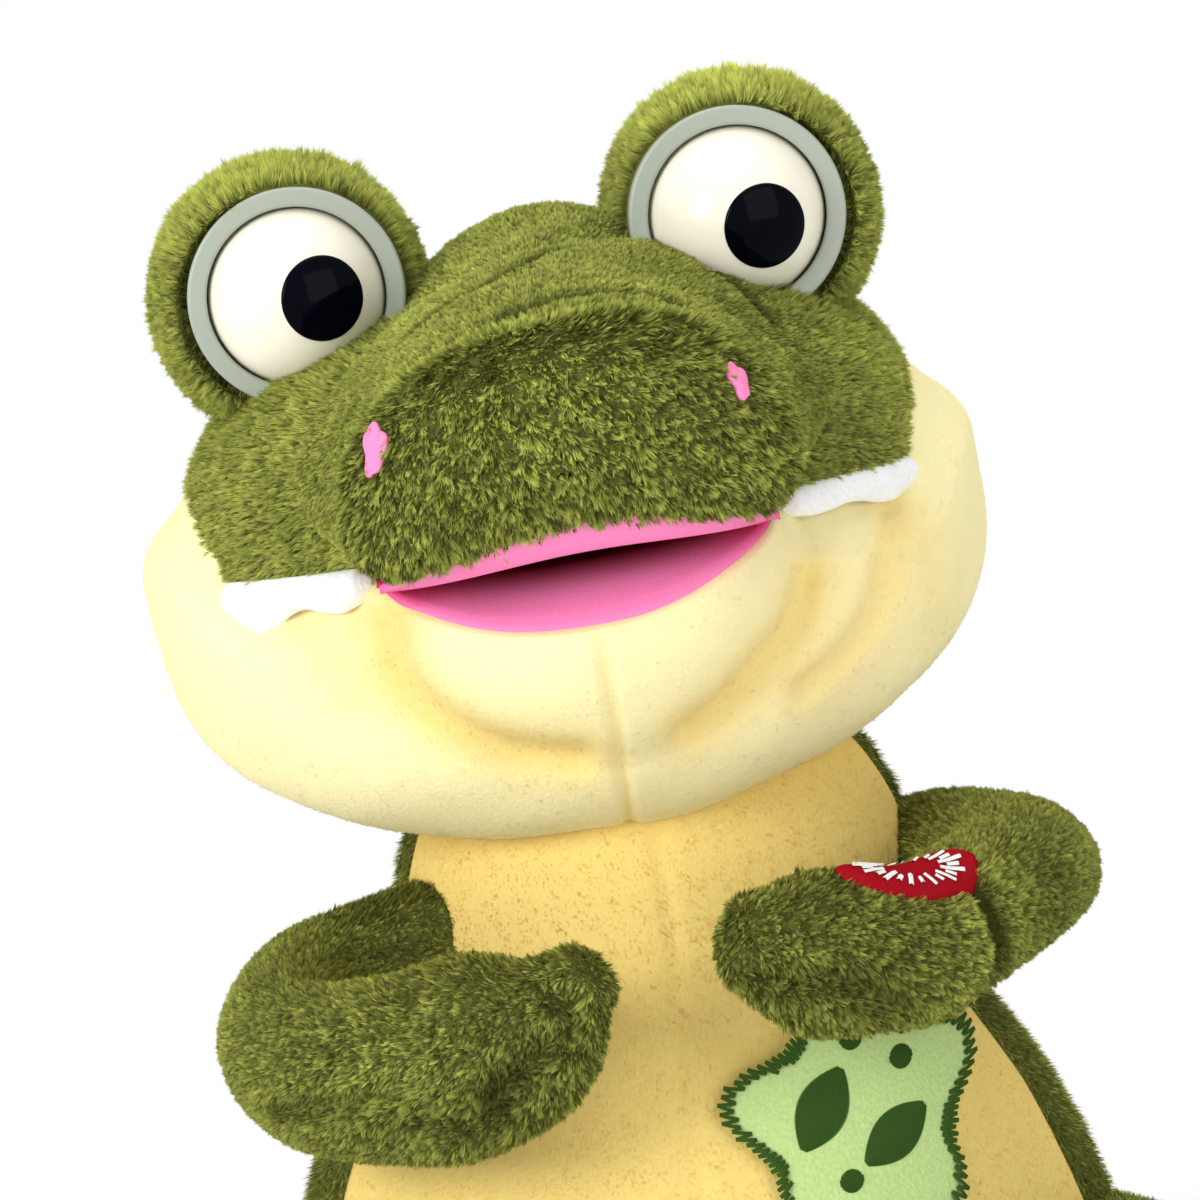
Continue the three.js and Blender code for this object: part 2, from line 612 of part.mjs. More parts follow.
const legFoot = PLATE.thickness + SEAT_GAP;
const legOuter = BOX.halfWidth - BOX_LEG.inset;
const legInner = legOuter - BOX_LEG.width;
const boxLegs = box(-legOuter, -legInner, BOX_LEG.front, BOX_LEG.back, legFoot, BOX.bottom + 1)
  .add(box(legInner, legOuter, BOX_LEG.front, BOX_LEG.back, legFoot, BOX.bottom + 1));
const motorBack = BOX.back - BOX.wall - SEAT_GAP;
const motorFront = motorBack - MOTOR.length;
const cradle = box(-8, 8, motorFront + 3, BOX.back - 1, BOX.bottom + 1, driveZ - MOTOR.radius - SEAT_GAP);
const trayBack = trayShell(BOX.split + SEAT_GAP / 2, BOX.back, true).add(boxLegs).add(cradle).subtract(pinHoles);
piece("gearbox_back", trayBack, "shell");

piece("drive_motor", across(motorSolid(-motorBack, -motorFront, -GEAR_FRONT + 1), 0, driveZ), "steel");
const pinBack = BOX.back - SEAT_GAP;
const pinFront = BOX.front + SEAT_GAP;
piece("neck_pin", rod([0, pinFront, NECK_Z], [0, pinBack, NECK_Z], NECK_PIN, 16), "steel");
piece("arm_pin_left", rod([armX, pinFront, armZ], [armX, pinBack, armZ], ARM_PIN, 16), "steel");
piece("arm_pin_right", rod([-armX, pinFront, armZ], [-armX, pinBack, armZ], ARM_PIN, 16), "steel");
piece("drive_pinion", across(pinion(DRIVE_TEETH, 90 + 180 / DRIVE_TEETH, -GEAR_BACK, -GEAR_FRONT,
  MOTOR.shaft + 0.15), 0, driveZ), "gear");

// Circuit board on the back of the gearbox
const boardFront = BOX.back + SEAT_GAP;
const boardLow = BOX.bottom + BOARD.low;
const boardHigh = BOX.bottom + BOARD.high;
const boardFace = boardFront + BOARD.thickness;
const chipZ = (boardLow + boardHigh) / 2;
const plugX = BOARD.halfWidth - BOARD.plug;
const board = box(-BOARD.halfWidth, BOARD.halfWidth, boardFront, boardFace, boardLow, boardHigh)
  .add(box(-BOARD.chip, BOARD.chip, boardFace - 0.5, boardFace + BOARD.chipRise, chipZ - BOARD.chip,
    chipZ + BOARD.chip))
  .add(box(plugX - BOARD.plug / 2, plugX + BOARD.plug / 2, boardFace - 0.5, boardFace + BOARD.plugRise, boardLow + 3,
    boardLow + 9));
piece("circuit_board", board, "board");

// Neck yoke: three toothed sectors, a post through the neck and a flange under the skull
const yokeTeeth = [-armTilt, 180 + armTilt, -90].reduce((solid, phase) => {
  const sector = toothWedge(NECK_TEETH, -2, 2, phase, 0.85, -GEAR_BACK, -GEAR_FRONT);
  return solid ? solid.add(sector) : sector;
}, null);
const yokeHub = rod([0, 0, -GEAR_BACK], [0, 0, -GEAR_FRONT], 8, 24);
const yokePost = box(-postHalf, postHalf, GEAR_FRONT, GEAR_BACK, NECK_Z, yokeTop - 1);
const yokeFlange = box(-20, 20, SKULL.front + 2, 12, yokeTop - 3, yokeTop);
const yokeBore = rod([0, -30, NECK_Z], [0, 30, NECK_Z], NECK_PIN + RUN_GAP, 16);
const yoke = across(yokeTeeth.add(yokeHub), 0, NECK_Z).add(yokePost).add(yokeFlange).subtract(yokeBore);
piece("neck_yoke", yoke, "gear");

// Arm levers: a toothed sector towards the neck and a bar into the arm
for (const [name, side] of [["left", 1], ["right", -1]]) {
  const facing = side > 0 ? 180 - armTilt : armTilt;
  const gap = 180 / ARM_TEETH;
  const teeth = toothWedge(ARM_TEETH, -3, 2, facing + gap, 0.9, -GEAR_BACK, -GEAR_FRONT);
  const hub = rod([0, 0, -GEAR_BACK], [0, 0, -GEAR_FRONT], 5.6, 20);
  const reach = [side * armX, side * LEVER_REACH].sort((a, b) => a - b);
  const bar = box(reach[0], reach[1], GEAR_FRONT, GEAR_BACK, armZ - LEVER_HALF_HEIGHT, armZ + LEVER_HALF_HEIGHT);
  const bore = rod([side * armX, -30, armZ], [side * armX, 30, armZ], ARM_PIN + RUN_GAP, 16);
  const lever = across(teeth.add(hub), side * armX, armZ).add(bar).subtract(bore);
  piece(`arm_lever_${name}`, lever, "gear");
}

// Arms, hollow round the lever bar and clear of the body at both ends of the swing
function bodySweep(side) {
  const far = bodySolid(ARM_BODY_GAP);
  const centre = new THREE.Matrix4().makeTranslation(side * armX, 0, armZ);
  const away = centre.clone().invert();
  return [-armSwing, armSwing].reduce((solid, swing) => {
    const turn = new THREE.Matrix4().makeRotationY(radians(swing));
    return solid.add(moved(far, centre.clone().multiply(turn).multiply(away)));
  }, far);
}
const leverRoom = box(-LEVER_REACH - SEAT_GAP, LEVER_REACH + SEAT_GAP, GEAR_FRONT - SEAT_GAP, GEAR_BACK + SEAT_GAP,
  armZ - LEVER_HALF_HEIGHT - SEAT_GAP, armZ + LEVER_HALF_HEIGHT + SEAT_GAP);
piece("arm_right_plush", limb(ARM_RIGHT_PATH).subtract(bodySweep(-1)).subtract(leverRoom), "green");

// Press switch under the red patch, drawn along z and turned to the patch's own direction
const pressArm = limbFrame(ARM_LEFT_PATH, PRESS.along);
const pressNormal = pressArm.side.clone().multiplyScalar(Math.cos(radians(PRESS.turnDeg)))
  .addScaledVector(pressArm.rise, Math.sin(radians(PRESS.turnDeg)));
const pressCentre = pressArm.centre.clone().addScaledVector(pressNormal, pressArm.radius);
const pressPlace = new THREE.Matrix4()
  .makeBasis(pressArm.along, pressNormal.clone().cross(pressArm.along), pressNormal).setPosition(pressCentre);
const ovalPrism = (rx, ry, z0, z1) => {
  const low = ovalRing(new THREE.Vector3(0, 0, z0), X_AXIS, Y_AXIS, rx, ry, 24);
  return moved(skin([low, low.map((point) => new THREE.Vector3(point.x, point.y, z1))]), pressPlace);
};
const pressRod = (radius, z0, z1, sides) => moved(rod([0, 0, z0], [0, 0, z1], radius, sides), pressPlace);
const pressSkin = limb(ARM_LEFT_PATH, PRESS_PATCH.above).subtract(limb(ARM_LEFT_PATH, -PRESS_PATCH.below));
const recessFloor = PRESS_PATCH.below + PRESS.travel + 0.8;
const pressRecess = ovalPrism(PRESS_PATCH.rx + 0.5, PRESS_PATCH.ry + 0.5, -12, 30)
  .subtract(limb(ARM_LEFT_PATH, -recessFloor));
const caseRoom = pressRod(PRESS_CASE.radius + SEAT_GAP, PRESS_CASE.bottom - SEAT_GAP, 20, 24);
const armLeft = limb(ARM_LEFT_PATH).subtract(bodySweep(1)).subtract(leverRoom).subtract(pressRecess)
  .subtract(caseRoom);
piece("arm_left_plush", armLeft, "green");
const pressPatch = ovalPrism(PRESS_PATCH.rx, PRESS_PATCH.ry, -12, 30).intersect(pressSkin);
piece("press_patch", pressPatch, "red");
const stemBottom = PRESS_CASE.top - 3;
const stem = pressRod(PRESS_STEM, stemBottom, 10, 16).subtract(limb(ARM_LEFT_PATH, 30).subtract(
  limb(ARM_LEFT_PATH, -PRESS_PATCH.below - SEAT_GAP)));
piece("press_button", stem, "gear");
const caseBore = pressRod(PRESS_STEM + RUN_GAP, stemBottom - PRESS.travel - 1, 10, 16);
piece("press_switch_case", pressRod(PRESS_CASE.radius, PRESS_CASE.bottom, PRESS_CASE.top, 24).subtract(caseBore),
  "shell");

// Jaw pieces are built closed about the hinge, then turned down and carried to the hinge
const jawPlace = new THREE.Matrix4().makeTranslation(0, JAW.y, JAW.z)
  .multiply(new THREE.Matrix4().makeRotationX(radians(JAW.openDeg)));
const jawPiece = (solid) => moved(solid, jawPlace);
function jawOutline(half, back, front, z0, z1) {
  const shape = new THREE.Shape();
  shape.moveTo(-half, back);
  shape.lineTo(-half, front + half * 0.8);
  shape.bezierCurveTo(-half, front + half * 0.2, -half * 0.55, front, 0, front);
  shape.bezierCurveTo(half * 0.55, front, half, front + half * 0.2, half, front + half * 0.8);
  shape.lineTo(half, back);
  const geometry = new THREE.ExtrudeGeometry(shape, { depth: z1 - z0, bevelEnabled: false, curveSegments: 7 });
  geometry.translate(0, 0, z0);
  return solidOf(geometry);
}
const armIn = JAW.halfWidth - 3;
const hingeArms = [1, -1].reduce((solid, side) => {
  const inner = side * armIn;
  const outer = side * JAW.halfWidth;
  const eye = rod([inner, 0, 0], [outer, 0, 0], JAW.pin + 2.6, 20);
  const tie = box(Math.min(inner, outer), Math.max(inner, outer), CHIN.back - 8, 0, -JAW.plate - 1, 2);
  return solid.add(eye).add(tie);
}, jawOutline(JAW.halfWidth, CHIN.back, -JAW.reach, -JAW.plate, 0));
const jawTeeth = sideways(toothWedge(JAW_TEETH, -2, 3, -JAW.openDeg, 0.85, JAW_GEAR.inner, JAW_GEAR.outer), 0, 0);
const jawHub = rod([JAW_GEAR.inner, 0, 0], [JAW_GEAR.outer, 0, 0], JAW.pin + 3, 20);
const jawWeb = box(JAW_GEAR.inner, JAW_GEAR.outer, CHIN.back - 6, 0, -JAW.plate, 2.5);
const jawBore = rod([-60, 0, 0], [60, 0, 0], JAW.pin + RUN_GAP, 16);
piece("jaw_plate", jawPiece(hingeArms.add(jawTeeth).add(jawHub).add(jawWeb).subtract(jawBore)), "gear");

const liningBottom = SEAT_GAP;
const jawLining = jawOutline(JAW.halfWidth + 1, CHIN.back - 8.5, -JAW.reach - 4, liningBottom,
  liningBottom + JAW.lining).subtract(box(JAW_GEAR.inner - 1, JAW_GEAR.outer + 1, CHIN.back - 7, 10, -1, 20));
piece("jaw_lining", jawPiece(jawLining), "pink");

const chinTop = -JAW.plate - SEAT_GAP;
const chinRoom = jawOutline(JAW.halfWidth + SEAT_GAP, CHIN.back + 2, -JAW.reach - SEAT_GAP, -JAW.plate - SEAT_GAP, 1)
  .add(box(-JAW.halfWidth - SEAT_GAP, JAW.halfWidth + SEAT_GAP, CHIN.back - 8 - SEAT_GAP, 5, -JAW.plate - 1.3, 5));
const chinBall = (grow) => ball([0, CHIN.y, 0], CHIN.width + grow, CHIN.depth + grow, CHIN.drop - chinTop + grow, 24);
const chinCut = box(-100, 100, CHIN.back, 100, -100, 100).add(box(-100, 100, -200, 200, 0, 100));
const pocket = ball([0, 0, NECK_Z], NECK_BALL + NECK_POCKET_GAP, NECK_BALL + NECK_POCKET_GAP,
  NECK_BALL + NECK_POCKET_GAP, 32);
piece("chin_plush", jawPiece(chinBall(0).subtract(chinCut).subtract(chinRoom)).subtract(pocket), "yellow");

// Room for the jaw in the face: the chin's own shape, open above
function jawRoom() {
  const grow = 1;
  const cup = chinBall(grow).subtract(box(-100, 100, -200, 200, 0, 100));
  const ring = (z) => ovalRing(new THREE.Vector3(0, CHIN.y, z), X_AXIS, Y_AXIS, CHIN.width + grow,
    CHIN.depth + grow, 24);
  return jawPiece(cup.add(skin([ring(-0.5), ring(40)])));
}

// Head cavity for the mechanism, open to the neck and into the hoods
function headCavity() {
  const frame = box(-SKULL.halfWidth - 1, SKULL.halfWidth + 1, SKULL.front - 6, SKULL.back + 4, SKULL.floor - 4,
    SKULL.deck + 0.5);
  const neck = box(-24, 24, SKULL.front - 2, 16, SKULL.floor - 30, SKULL.floor);
  const barEnd = EYE.x + LEVER.length * Math.sin(radians(EYE_TURN_DEG)) + LINK_BAR.endRoom + 2;
  const barRoom = box(-barEnd, barEnd, pinY - LINK_BAR.halfDepth - 2, pinY + LINK_BAR.halfDepth + 2, barBottom - 1.5,
    LINK_BAR.top + 1.5);
  const coilRoom = box(-COIL.halfLength - 1, COIL.halfLength + 1, pinY - COIL.radius - 1, pinY + COIL.radius + 1,
    SKULL.deck - 1, barMid + COIL.radius + 1);
  const jawArms = box(-JAW.halfWidth - 1, JAW.halfWidth + 1, JAW.y - 38, JAW.y, JAW.z - 13, JAW.z + 5);
  return frame.add(neck).add(barRoom).add(coilRoom).add(jawArms);
}
const cavity = headCavity();
const eyeRoom = (side, grow) => {
  const x = side * EYE.x;
  const bore = rod([x, -60, EYE.z], [x, 4, EYE.z], RING.outer + grow, 28);
  return bore;
};
const eyeballRoom = (side) => ball([side * EYE.x, EYE.y, EYE.z], EYE.radius + 1, EYE.radius + 1, EYE.radius + 1, 18);
const ringRoom = (side) => rod([side * EYE.x, RING.front - 1, EYE.z], [side * EYE.x, 4, EYE.z],
  RING.outer + SEAT_GAP, 28);

// Face: the yellow part lies below the split and runs up the sides as flaps
const face = headSolid();
const lowRegion = (grow) => box(-200, 200, -200, CHEEK_FLAP.back + grow, 0, FACE_SPLIT_Z + grow);
const flapRegion = (grow) => {
  const inner = CHEEK_FLAP.inner - grow;
  const top = CHEEK_FLAP.top + grow;
  return box(inner, 200, -200, CHEEK_FLAP.back + grow, 0, top)
    .add(box(-200, -inner, -200, CHEEK_FLAP.back + grow, 0, top));
};
const cheekRegion = lowRegion(0).add(flapRegion(0));
const clearCheek = lowRegion(PLUSH_GAP).add(flapRegion(PLUSH_GAP));
const snoutRoom = snoutSolid(PLUSH_GAP);
const liningRoom = box(-UPPER_LINING.halfWidth - 1, UPPER_LINING.halfWidth + 1, -200, UPPER_LINING.back + 1,
  UPPER_LINING.bottom - 6, FACE_SPLIT_Z + 3);
const cheeks = face.intersect(cheekRegion).subtract(pocket).subtract(cavity).subtract(jawRoom())
  .subtract(snoutRoom).subtract(liningRoom);
piece("cheek_plush", cheeks, "yellow");

const sockets = [1, -1].map((side) => ringRoom(side).add(eyeballRoom(side)));
const crown = face.subtract(clearCheek).subtract(pocket).subtract(cavity).subtract(snoutRoom).subtract(liningRoom)
  .subtract(sockets[0]).subtract(sockets[1]);
piece("head_crown_plush", crown, "green");

const nostrilBall = (side, grow) => ball([side * NOSTRIL.x, NOSTRIL.y, NOSTRIL.z], NOSTRIL.rx + grow,
  NOSTRIL.ry + grow, NOSTRIL.rz + grow, 14);
const snout = snoutSolid().subtract(cavity).subtract(sockets[0]).subtract(sockets[1])
  .subtract(nostrilBall(1, SEAT_GAP)).subtract(nostrilBall(-1, SEAT_GAP))
  .subtract(jawOutline(UPPER_LINING.halfWidth + SEAT_GAP, UPPER_LINING.back, UPPER_LINING.front - SEAT_GAP,
    UPPER_LINING.bottom - SEAT_GAP, UPPER_LINING.bottom + UPPER_LINING.thickness + SEAT_GAP));
piece("snout_plush", snout, "green");
piece("nostril_left", nostrilBall(1, 0), "pink");
piece("nostril_right", nostrilBall(-1, 0), "pink");
piece("upper_mouth_lining", jawOutline(UPPER_LINING.halfWidth, UPPER_LINING.back, UPPER_LINING.front,
  UPPER_LINING.bottom, UPPER_LINING.bottom + UPPER_LINING.thickness), "pink");

const clearHead = headSolid(PLUSH_GAP);
for (const [name, side] of [["left", 1], ["right", -1]]) {
  const x = side * EYE.x;
  const hoodBall = ball([x, HOOD.y, EYE.z], HOOD.radius, HOOD.radius, HOOD.radius, 22);
  const hood = hoodBall.subtract(clearHead).subtract(snoutRoom).subtract(eyeRoom(side, SEAT_GAP)).subtract(cavity);
  piece(`eye_hood_${name}`, hood, "green");

  const tube = rod([x, RING.front, EYE.z], [x, RING.back, EYE.z], RING.outer, 24);
  const tubeBore = rod([x, RING.front - 1, EYE.z], [x, RING.back + 1, EYE.z], RING.inner, 24);
  const pivotHole = rod([x, EYE.y, EYE.z - 30], [x, EYE.y, EYE.z + 30], EYE_PIVOT + RUN_GAP, 12);
  piece(`eye_ring_${name}`, tube.subtract(tubeBore).subtract(pivotHole), "ring");

  // The eyeball is drawn looking straight ahead and turned to its rest
  const eyePlace = new THREE.Matrix4().makeTranslation(x, EYE.y, EYE.z)
    .multiply(new THREE.Matrix4().makeRotationZ(radians(EYE_REST_DEG)));
  const globe = ball([0, 0, 0], EYE.radius, EYE.radius, EYE.radius, 20)
    .subtract(box(-50, 50, EYE.back, 50, -50, 50));
  const pivots = rod([0, 0, -RING.outer + 0.4], [0, 0, RING.outer - 0.4], EYE_PIVOT, 12);
  const tab = box(-LEVER.halfWidth, LEVER.halfWidth, EYE.back - 3, LEVER.length + LEVER.pin + 1.2,
    -LEVER.halfHeight, LEVER.halfHeight);
  const dropPin = rod([0, LEVER.length, LINK_BAR.top - LINK_BAR.thickness - EYE.z - 0.4], [0, LEVER.length, 0],
    LEVER.pin, 12);
  const aim = new THREE.Vector3(0, -Math.sqrt(EYE.radius ** 2 - PUPIL.rise ** 2), PUPIL.rise).normalize();
  const pupilRod = rod([0, 0, 0], aim.clone().multiplyScalar(40).toArray(), PUPIL.radius, 20);
  const pupilRoom = rod([0, 0, 0], aim.clone().multiplyScalar(40).toArray(), PUPIL.radius + 0.15, 20);
  const outerBall = EYE.radius + PUPIL.proud;
  const innerBall = EYE.radius - PUPIL.depth;
  const pupil = pupilRod.intersect(ball([0, 0, 0], outerBall, outerBall, outerBall, 20))
    .subtract(ball([0, 0, 0], innerBall, innerBall, innerBall, 16));
  const seat = pupilRoom.subtract(ball([0, 0, 0], innerBall - 0.5, innerBall - 0.5, innerBall - 0.5, 16));
  piece(`eyeball_${name}`, moved(globe.subtract(seat).add(pivots).add(tab).add(dropPin), eyePlace), "eye");
  piece(`pupil_${name}`, moved(pupil, eyePlace), "pupil");
}

// Link bar behind the eyes, with a slot for each lever pin and a rod through the coil
const rodHalf = COIL.halfLength + 2 * LEVER.length * Math.sin(radians(EYE_TURN_DEG)) + 1;
const barBlocks = [1, -1].reduce((solid, side) => {
  const x = side * EYE.x + pinShift;
  const inner = side * rodHalf + pinShift;
  const ends = [x + side * LINK_BAR.endRoom, inner].sort((a, b) => a - b);
  const block = box(ends[0], ends[1], pinY - LINK_BAR.halfDepth, pinY + LINK_BAR.halfDepth, barBottom, LINK_BAR.top);
  const slot = box(x - LEVER.pin - RUN_GAP, x + LEVER.pin + RUN_GAP, pinY - 2.4, pinY + 2.6, barBottom - 1,
    LINK_BAR.top + 1);
  const cut = block.subtract(slot);
  return solid ? solid.add(cut) : cut;
}, null);
const barRod = rod([pinShift - rodHalf - 1, pinY, barMid], [pinShift + rodHalf + 1, pinY, barMid], LINK_BAR.rod, 16);
piece("eye_link_bar", barBlocks.add(barRod), "gear");
const coilTube = rod([-COIL.halfLength, pinY, barMid], [COIL.halfLength, pinY, barMid], COIL.radius, 24)
  .subtract(rod([-30, pinY, barMid], [30, pinY, barMid], COIL.bore, 16));
piece("eye_coil", coilTube, "copper");

// Skull frame: floor, two cheeks with the jaw pin holes, and the deck that carries the eyes
const skullFloor = box(-SKULL.halfWidth, SKULL.halfWidth, SKULL.front, SKULL.back, SKULL.floor,
  SKULL.floor + SKULL.wall);
const skullSides = [1, -1].reduce((solid, side) => {
  const outer = side * SKULL.halfWidth;
  const inner = side * (SKULL.halfWidth - SKULL.wall);
  const wall = box(Math.min(inner, outer), Math.max(inner, outer), SKULL.front, 8, SKULL.floor, SKULL.deck);
  return solid.add(wall);
}, skullFloor);
const skullDeck = box(-SKULL.halfWidth, SKULL.halfWidth, SKULL.front, 8, SKULL.deck - SKULL.wall, SKULL.deck);
const jawPinHole = rod([-60, JAW.y, JAW.z], [60, JAW.y, JAW.z], JAW.pin + SEAT_GAP, 16);
const jawPitchDistance = (GEAR_MODULE * (JAW_TEETH + JAW_PINION_TEETH)) / 2;
const jawMotorY = JAW.y + jawPitchDistance;
const jawMotorEnd = JAW_GEAR.inner - 2;
const jawCradle = box(jawMotorEnd - MOTOR.length + 3, jawMotorEnd - 3, jawMotorY - 6, jawMotorY + 6, SKULL.floor + 1,
  JAW.z - MOTOR.flat - SEAT_GAP);
piece("skull_frame", skullSides.add(skullDeck).add(jawCradle).subtract(jawPinHole), "shell");
piece("jaw_pin", rod([-SKULL.halfWidth, JAW.y, JAW.z], [SKULL.halfWidth, JAW.y, JAW.z], JAW.pin, 16), "steel");
const quarter = new THREE.Matrix4().makeRotationZ(Math.PI / 2);
const jawMotor = moved(motorSolid(jawMotorEnd - MOTOR.length, jawMotorEnd, JAW_GEAR.outer + 1), quarter);
piece("jaw_motor", sideways(jawMotor, jawMotorY, JAW.z), "steel");
piece("jaw_pinion", sideways(pinion(JAW_PINION_TEETH, 180 + 180 / JAW_PINION_TEETH, JAW_GEAR.inner, JAW_GEAR.outer,
  MOTOR.shaft + 0.15), jawMotorY, JAW.z), "gear");

// Tooth trims under the edge of the crown, one on each side of the snout
for (const [name, side] of [["left", 1], ["right", -1]]) {
  const shape = new THREE.Shape();
  const width = TOOTH.outer - TOOTH.inner;
  shape.moveTo(0, 0);
  const step = width / TOOTH.count;
  for (let i = 0; i < TOOTH.count; i += 1) {
    shape.quadraticCurveTo(i * step, -TOOTH.drop * 1.1, (i + 0.5) * step, -TOOTH.drop);
    shape.quadraticCurveTo((i + 1) * step, -TOOTH.drop * 1.1, (i + 1) * step, -TOOTH.drop * 0.35);
  }
  shape.lineTo(width, 0);
  const geometry = new THREE.ExtrudeGeometry(shape, { depth: 60, bevelEnabled: false, curveSegments: 4 });
  const prism = across(solidOf(geometry), 0, 0);
  const place = new THREE.Matrix4().makeTranslation(side > 0 ? TOOTH.inner : -TOOTH.outer, -15,
    FACE_SPLIT_Z - SEAT_GAP);
  const band = headSolid(SEAT_GAP + TOOTH.thickness).subtract(headSolid(SEAT_GAP));
  const trim = moved(prism, place).intersect(band).subtract(snoutRoom);
  piece(`tooth_trim_${name}`, trim, "white");
}

export default group;
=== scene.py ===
import math

import bpy
import numpy as np
from mathutils import Matrix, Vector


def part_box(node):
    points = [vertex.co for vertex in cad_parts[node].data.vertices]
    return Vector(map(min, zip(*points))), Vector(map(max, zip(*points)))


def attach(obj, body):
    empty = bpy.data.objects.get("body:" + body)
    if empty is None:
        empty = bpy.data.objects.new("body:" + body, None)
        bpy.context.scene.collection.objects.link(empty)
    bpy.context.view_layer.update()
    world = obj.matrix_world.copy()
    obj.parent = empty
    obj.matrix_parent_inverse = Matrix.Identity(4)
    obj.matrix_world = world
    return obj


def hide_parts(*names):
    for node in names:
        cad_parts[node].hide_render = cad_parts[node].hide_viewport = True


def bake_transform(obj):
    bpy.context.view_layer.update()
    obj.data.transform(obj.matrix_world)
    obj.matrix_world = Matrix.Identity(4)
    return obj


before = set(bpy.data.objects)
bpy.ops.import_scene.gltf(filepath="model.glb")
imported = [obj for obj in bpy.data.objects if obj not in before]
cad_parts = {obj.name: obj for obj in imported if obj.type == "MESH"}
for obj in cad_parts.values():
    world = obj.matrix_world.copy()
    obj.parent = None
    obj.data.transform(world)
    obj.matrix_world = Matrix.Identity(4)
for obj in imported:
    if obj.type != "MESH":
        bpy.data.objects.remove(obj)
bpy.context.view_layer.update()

bl_info = {
    "name": "Plush crocodile",
    "version": (1, 0, 0),
    "blender": (4, 5, 0),
    "location": "View3D > Sidebar > Crocodile",
    "description": "Sewn cloth, pile, eyes and trims of an animated plush crocodile over its packed frame",
    "category": "Add Mesh",
}

# Sizes in this file are in millimetres, turned into metres when a mesh is made.
# The face looks along -Y, +Z is up, +X is the toy's own left side.
MM = 0.001

# Body: half width, half depth and height of the pear, then a round neck
BODY_ROWS = [(66, 57, 0), (79, 65, 14), (84, 67, 45), (74, 66, 80), (61, 59, 105), (52, 52, 125)]
NECK_Z = 125
NECK_RADIUS = 52
BODY_BACK_SHIFT = 5
# The neck leans to one side: how far, and between which heights
BODY_LEAN = {"shift": 5.0, "from": 85, "to": 135}
# Thickness of the closed sheets of the body and of the face
BODY_SHEET = 8
FACE_SHEET = 9
# Extra stuffing behind the shoulders
SHOULDER_FILL = 6.0
# Seam between belly and back: height and y
BELLY_SEAM = [(100, -20), (140, -7)]

# Head: height of the widest place, the green crown, and the yellow face below and beside it
HEAD_Z = 204
CROWN = {"width": 72.5, "back_width": 80, "front": 64, "back": 60, "up": 50, "down": 54, "power": 2.4}
FACE = {
    "front": 70, "back": 62, "side_down": 56, "front_down": 58, "power": 2.2, "low": 149.0,
    "end_deg": 106, "taper_deg": 22,
}
# Upper edge of the yellow face: degrees round from the front, and height
FACE_RIM = [(32, 204), (57, 204), (66, 214.5), (77, 223), (88, 226), (96, 224), (102, 218), (106, 209)]
CHIN = {"y": -49, "z": 193, "width": 43, "depth": 37, "height": 31}
# Lower lip: half width of the mouth, height in the middle, rise to the corners, and how late it rises
MOUTH = {"half_width": 39, "low": 191.5, "rise": 12.5, "power": 2.3}
# Folds of the yellow cloth seen from the front: x, z; then how wide and deep
FACE_FOLDS = (
    ([(-36.5, 197), (-36.8, 188.7), (-32.8, 180.7), (-25.6, 174), (-17.6, 169.2), (-7, 166)], 3.2, 3.0),
    ([(41.5, 190), (37, 182.7), (30, 177.5), (22.3, 171.3), (14, 167)], 3.0, 2.6),
    ([(60.3, 197), (56.5, 187.3), (52, 179.7), (44.7, 173.7), (37, 170)], 2.8, 2.0),
    ([(67, 190.3), (65.8, 180), (64, 173.3)], 3.0, 0.9),
    ([(-52, 199), (-49, 190), (-46, 184)], 3.2, 1.0),
)
TOOTH_LINE = 204.5
# Linings of the mouth: half width, how far back they reach, thickness, and y where the painted shade deep in
# the mouth starts; then the height of the lower one's pad, and the front and the height of the upper one
LOWER_LINING = {"half_width": 37.6, "back": 40, "thick": 2.0, "throat_shade": -76, "pad": 8.5}
UPPER_LINING = {"half_width": 37, "back": 36, "thick": 1.6, "throat_shade": -84, "front": 92.5, "top": 210.4}
# Length over which the painted shade deepens into the mouth
THROAT_SHADE_LENGTH = 18
# White rolls beside the mouth: x of the inner end, length, heights of the edges, and half thickness
TOOTH = {"start": 38, "long": 28.5, "top": 207, "low": 202.2, "thick": 2.6}
# How far the lobes of each white roll hang down
TOOTH_DROP = {"left": 0.45, "right": 1.0}

# Snout: y, half width, top, height of the widest place, floor, and roundness of the upper half.
# It flares to the crown; below its widest place it is no wider than its floor.
SNOUT_ROWS = [
    (16, 30, 258, 226, 212, 1.8),
    (-10, 39, 265, 226, 206, 1.8),
    (-27, 51, 262, 226, 205, 1.45),
    (-45, 51, 259.5, 225, 204, 1.45),
    (-60, 47, 256, 221, 203.5, 1.65),
    (-72, 43.5, 252.5, 219, 203.5, 1.9),
    (-90, 41, 245.5, 217, 203.5, 2.15),
]
SNOUT_FLOOR_HALF = 41
# The snout stands a little to one side behind the nose: how far, where, and how long
SNOUT_SWAY = {"shift": 5.5, "y": -24, "length": 24}
NOSTRIL = {"x": 33.0, "z": 230.5, "half_wide": 2.4, "half_tall": 4.8, "left_share": 0.75}
NOSE_Y = -84
NOSE_DEPTH = 14
NOSE_POWER = 2.4
# Seam of the nose's front panel: y, and how far it runs back on the left side
NOSE_SEAM = {"y": -83.5, "back": 12, "x": 45}
# Fine tuck lines across the top of the snout, and the fold between snout and crown: x, y
SNOUT_TUCKS = (
    [(-22, -65.5), (-14.5, -63), (-6, -61.5), (1.5, -56), (11.5, -42), (18, -36)],
    [(-7.5, -81), (0, -79), (7.5, -77), (14, -74.6), (20, -73), (26, -73)],
    [(34, -33), (39, -40), (43.5, -49)],
    [(20.5, -88.5), (29, -84)],
)
CROWN_FOLD = [(-18, -34), (-9, -41), (2, -44), (12, -35), (22, -24)]

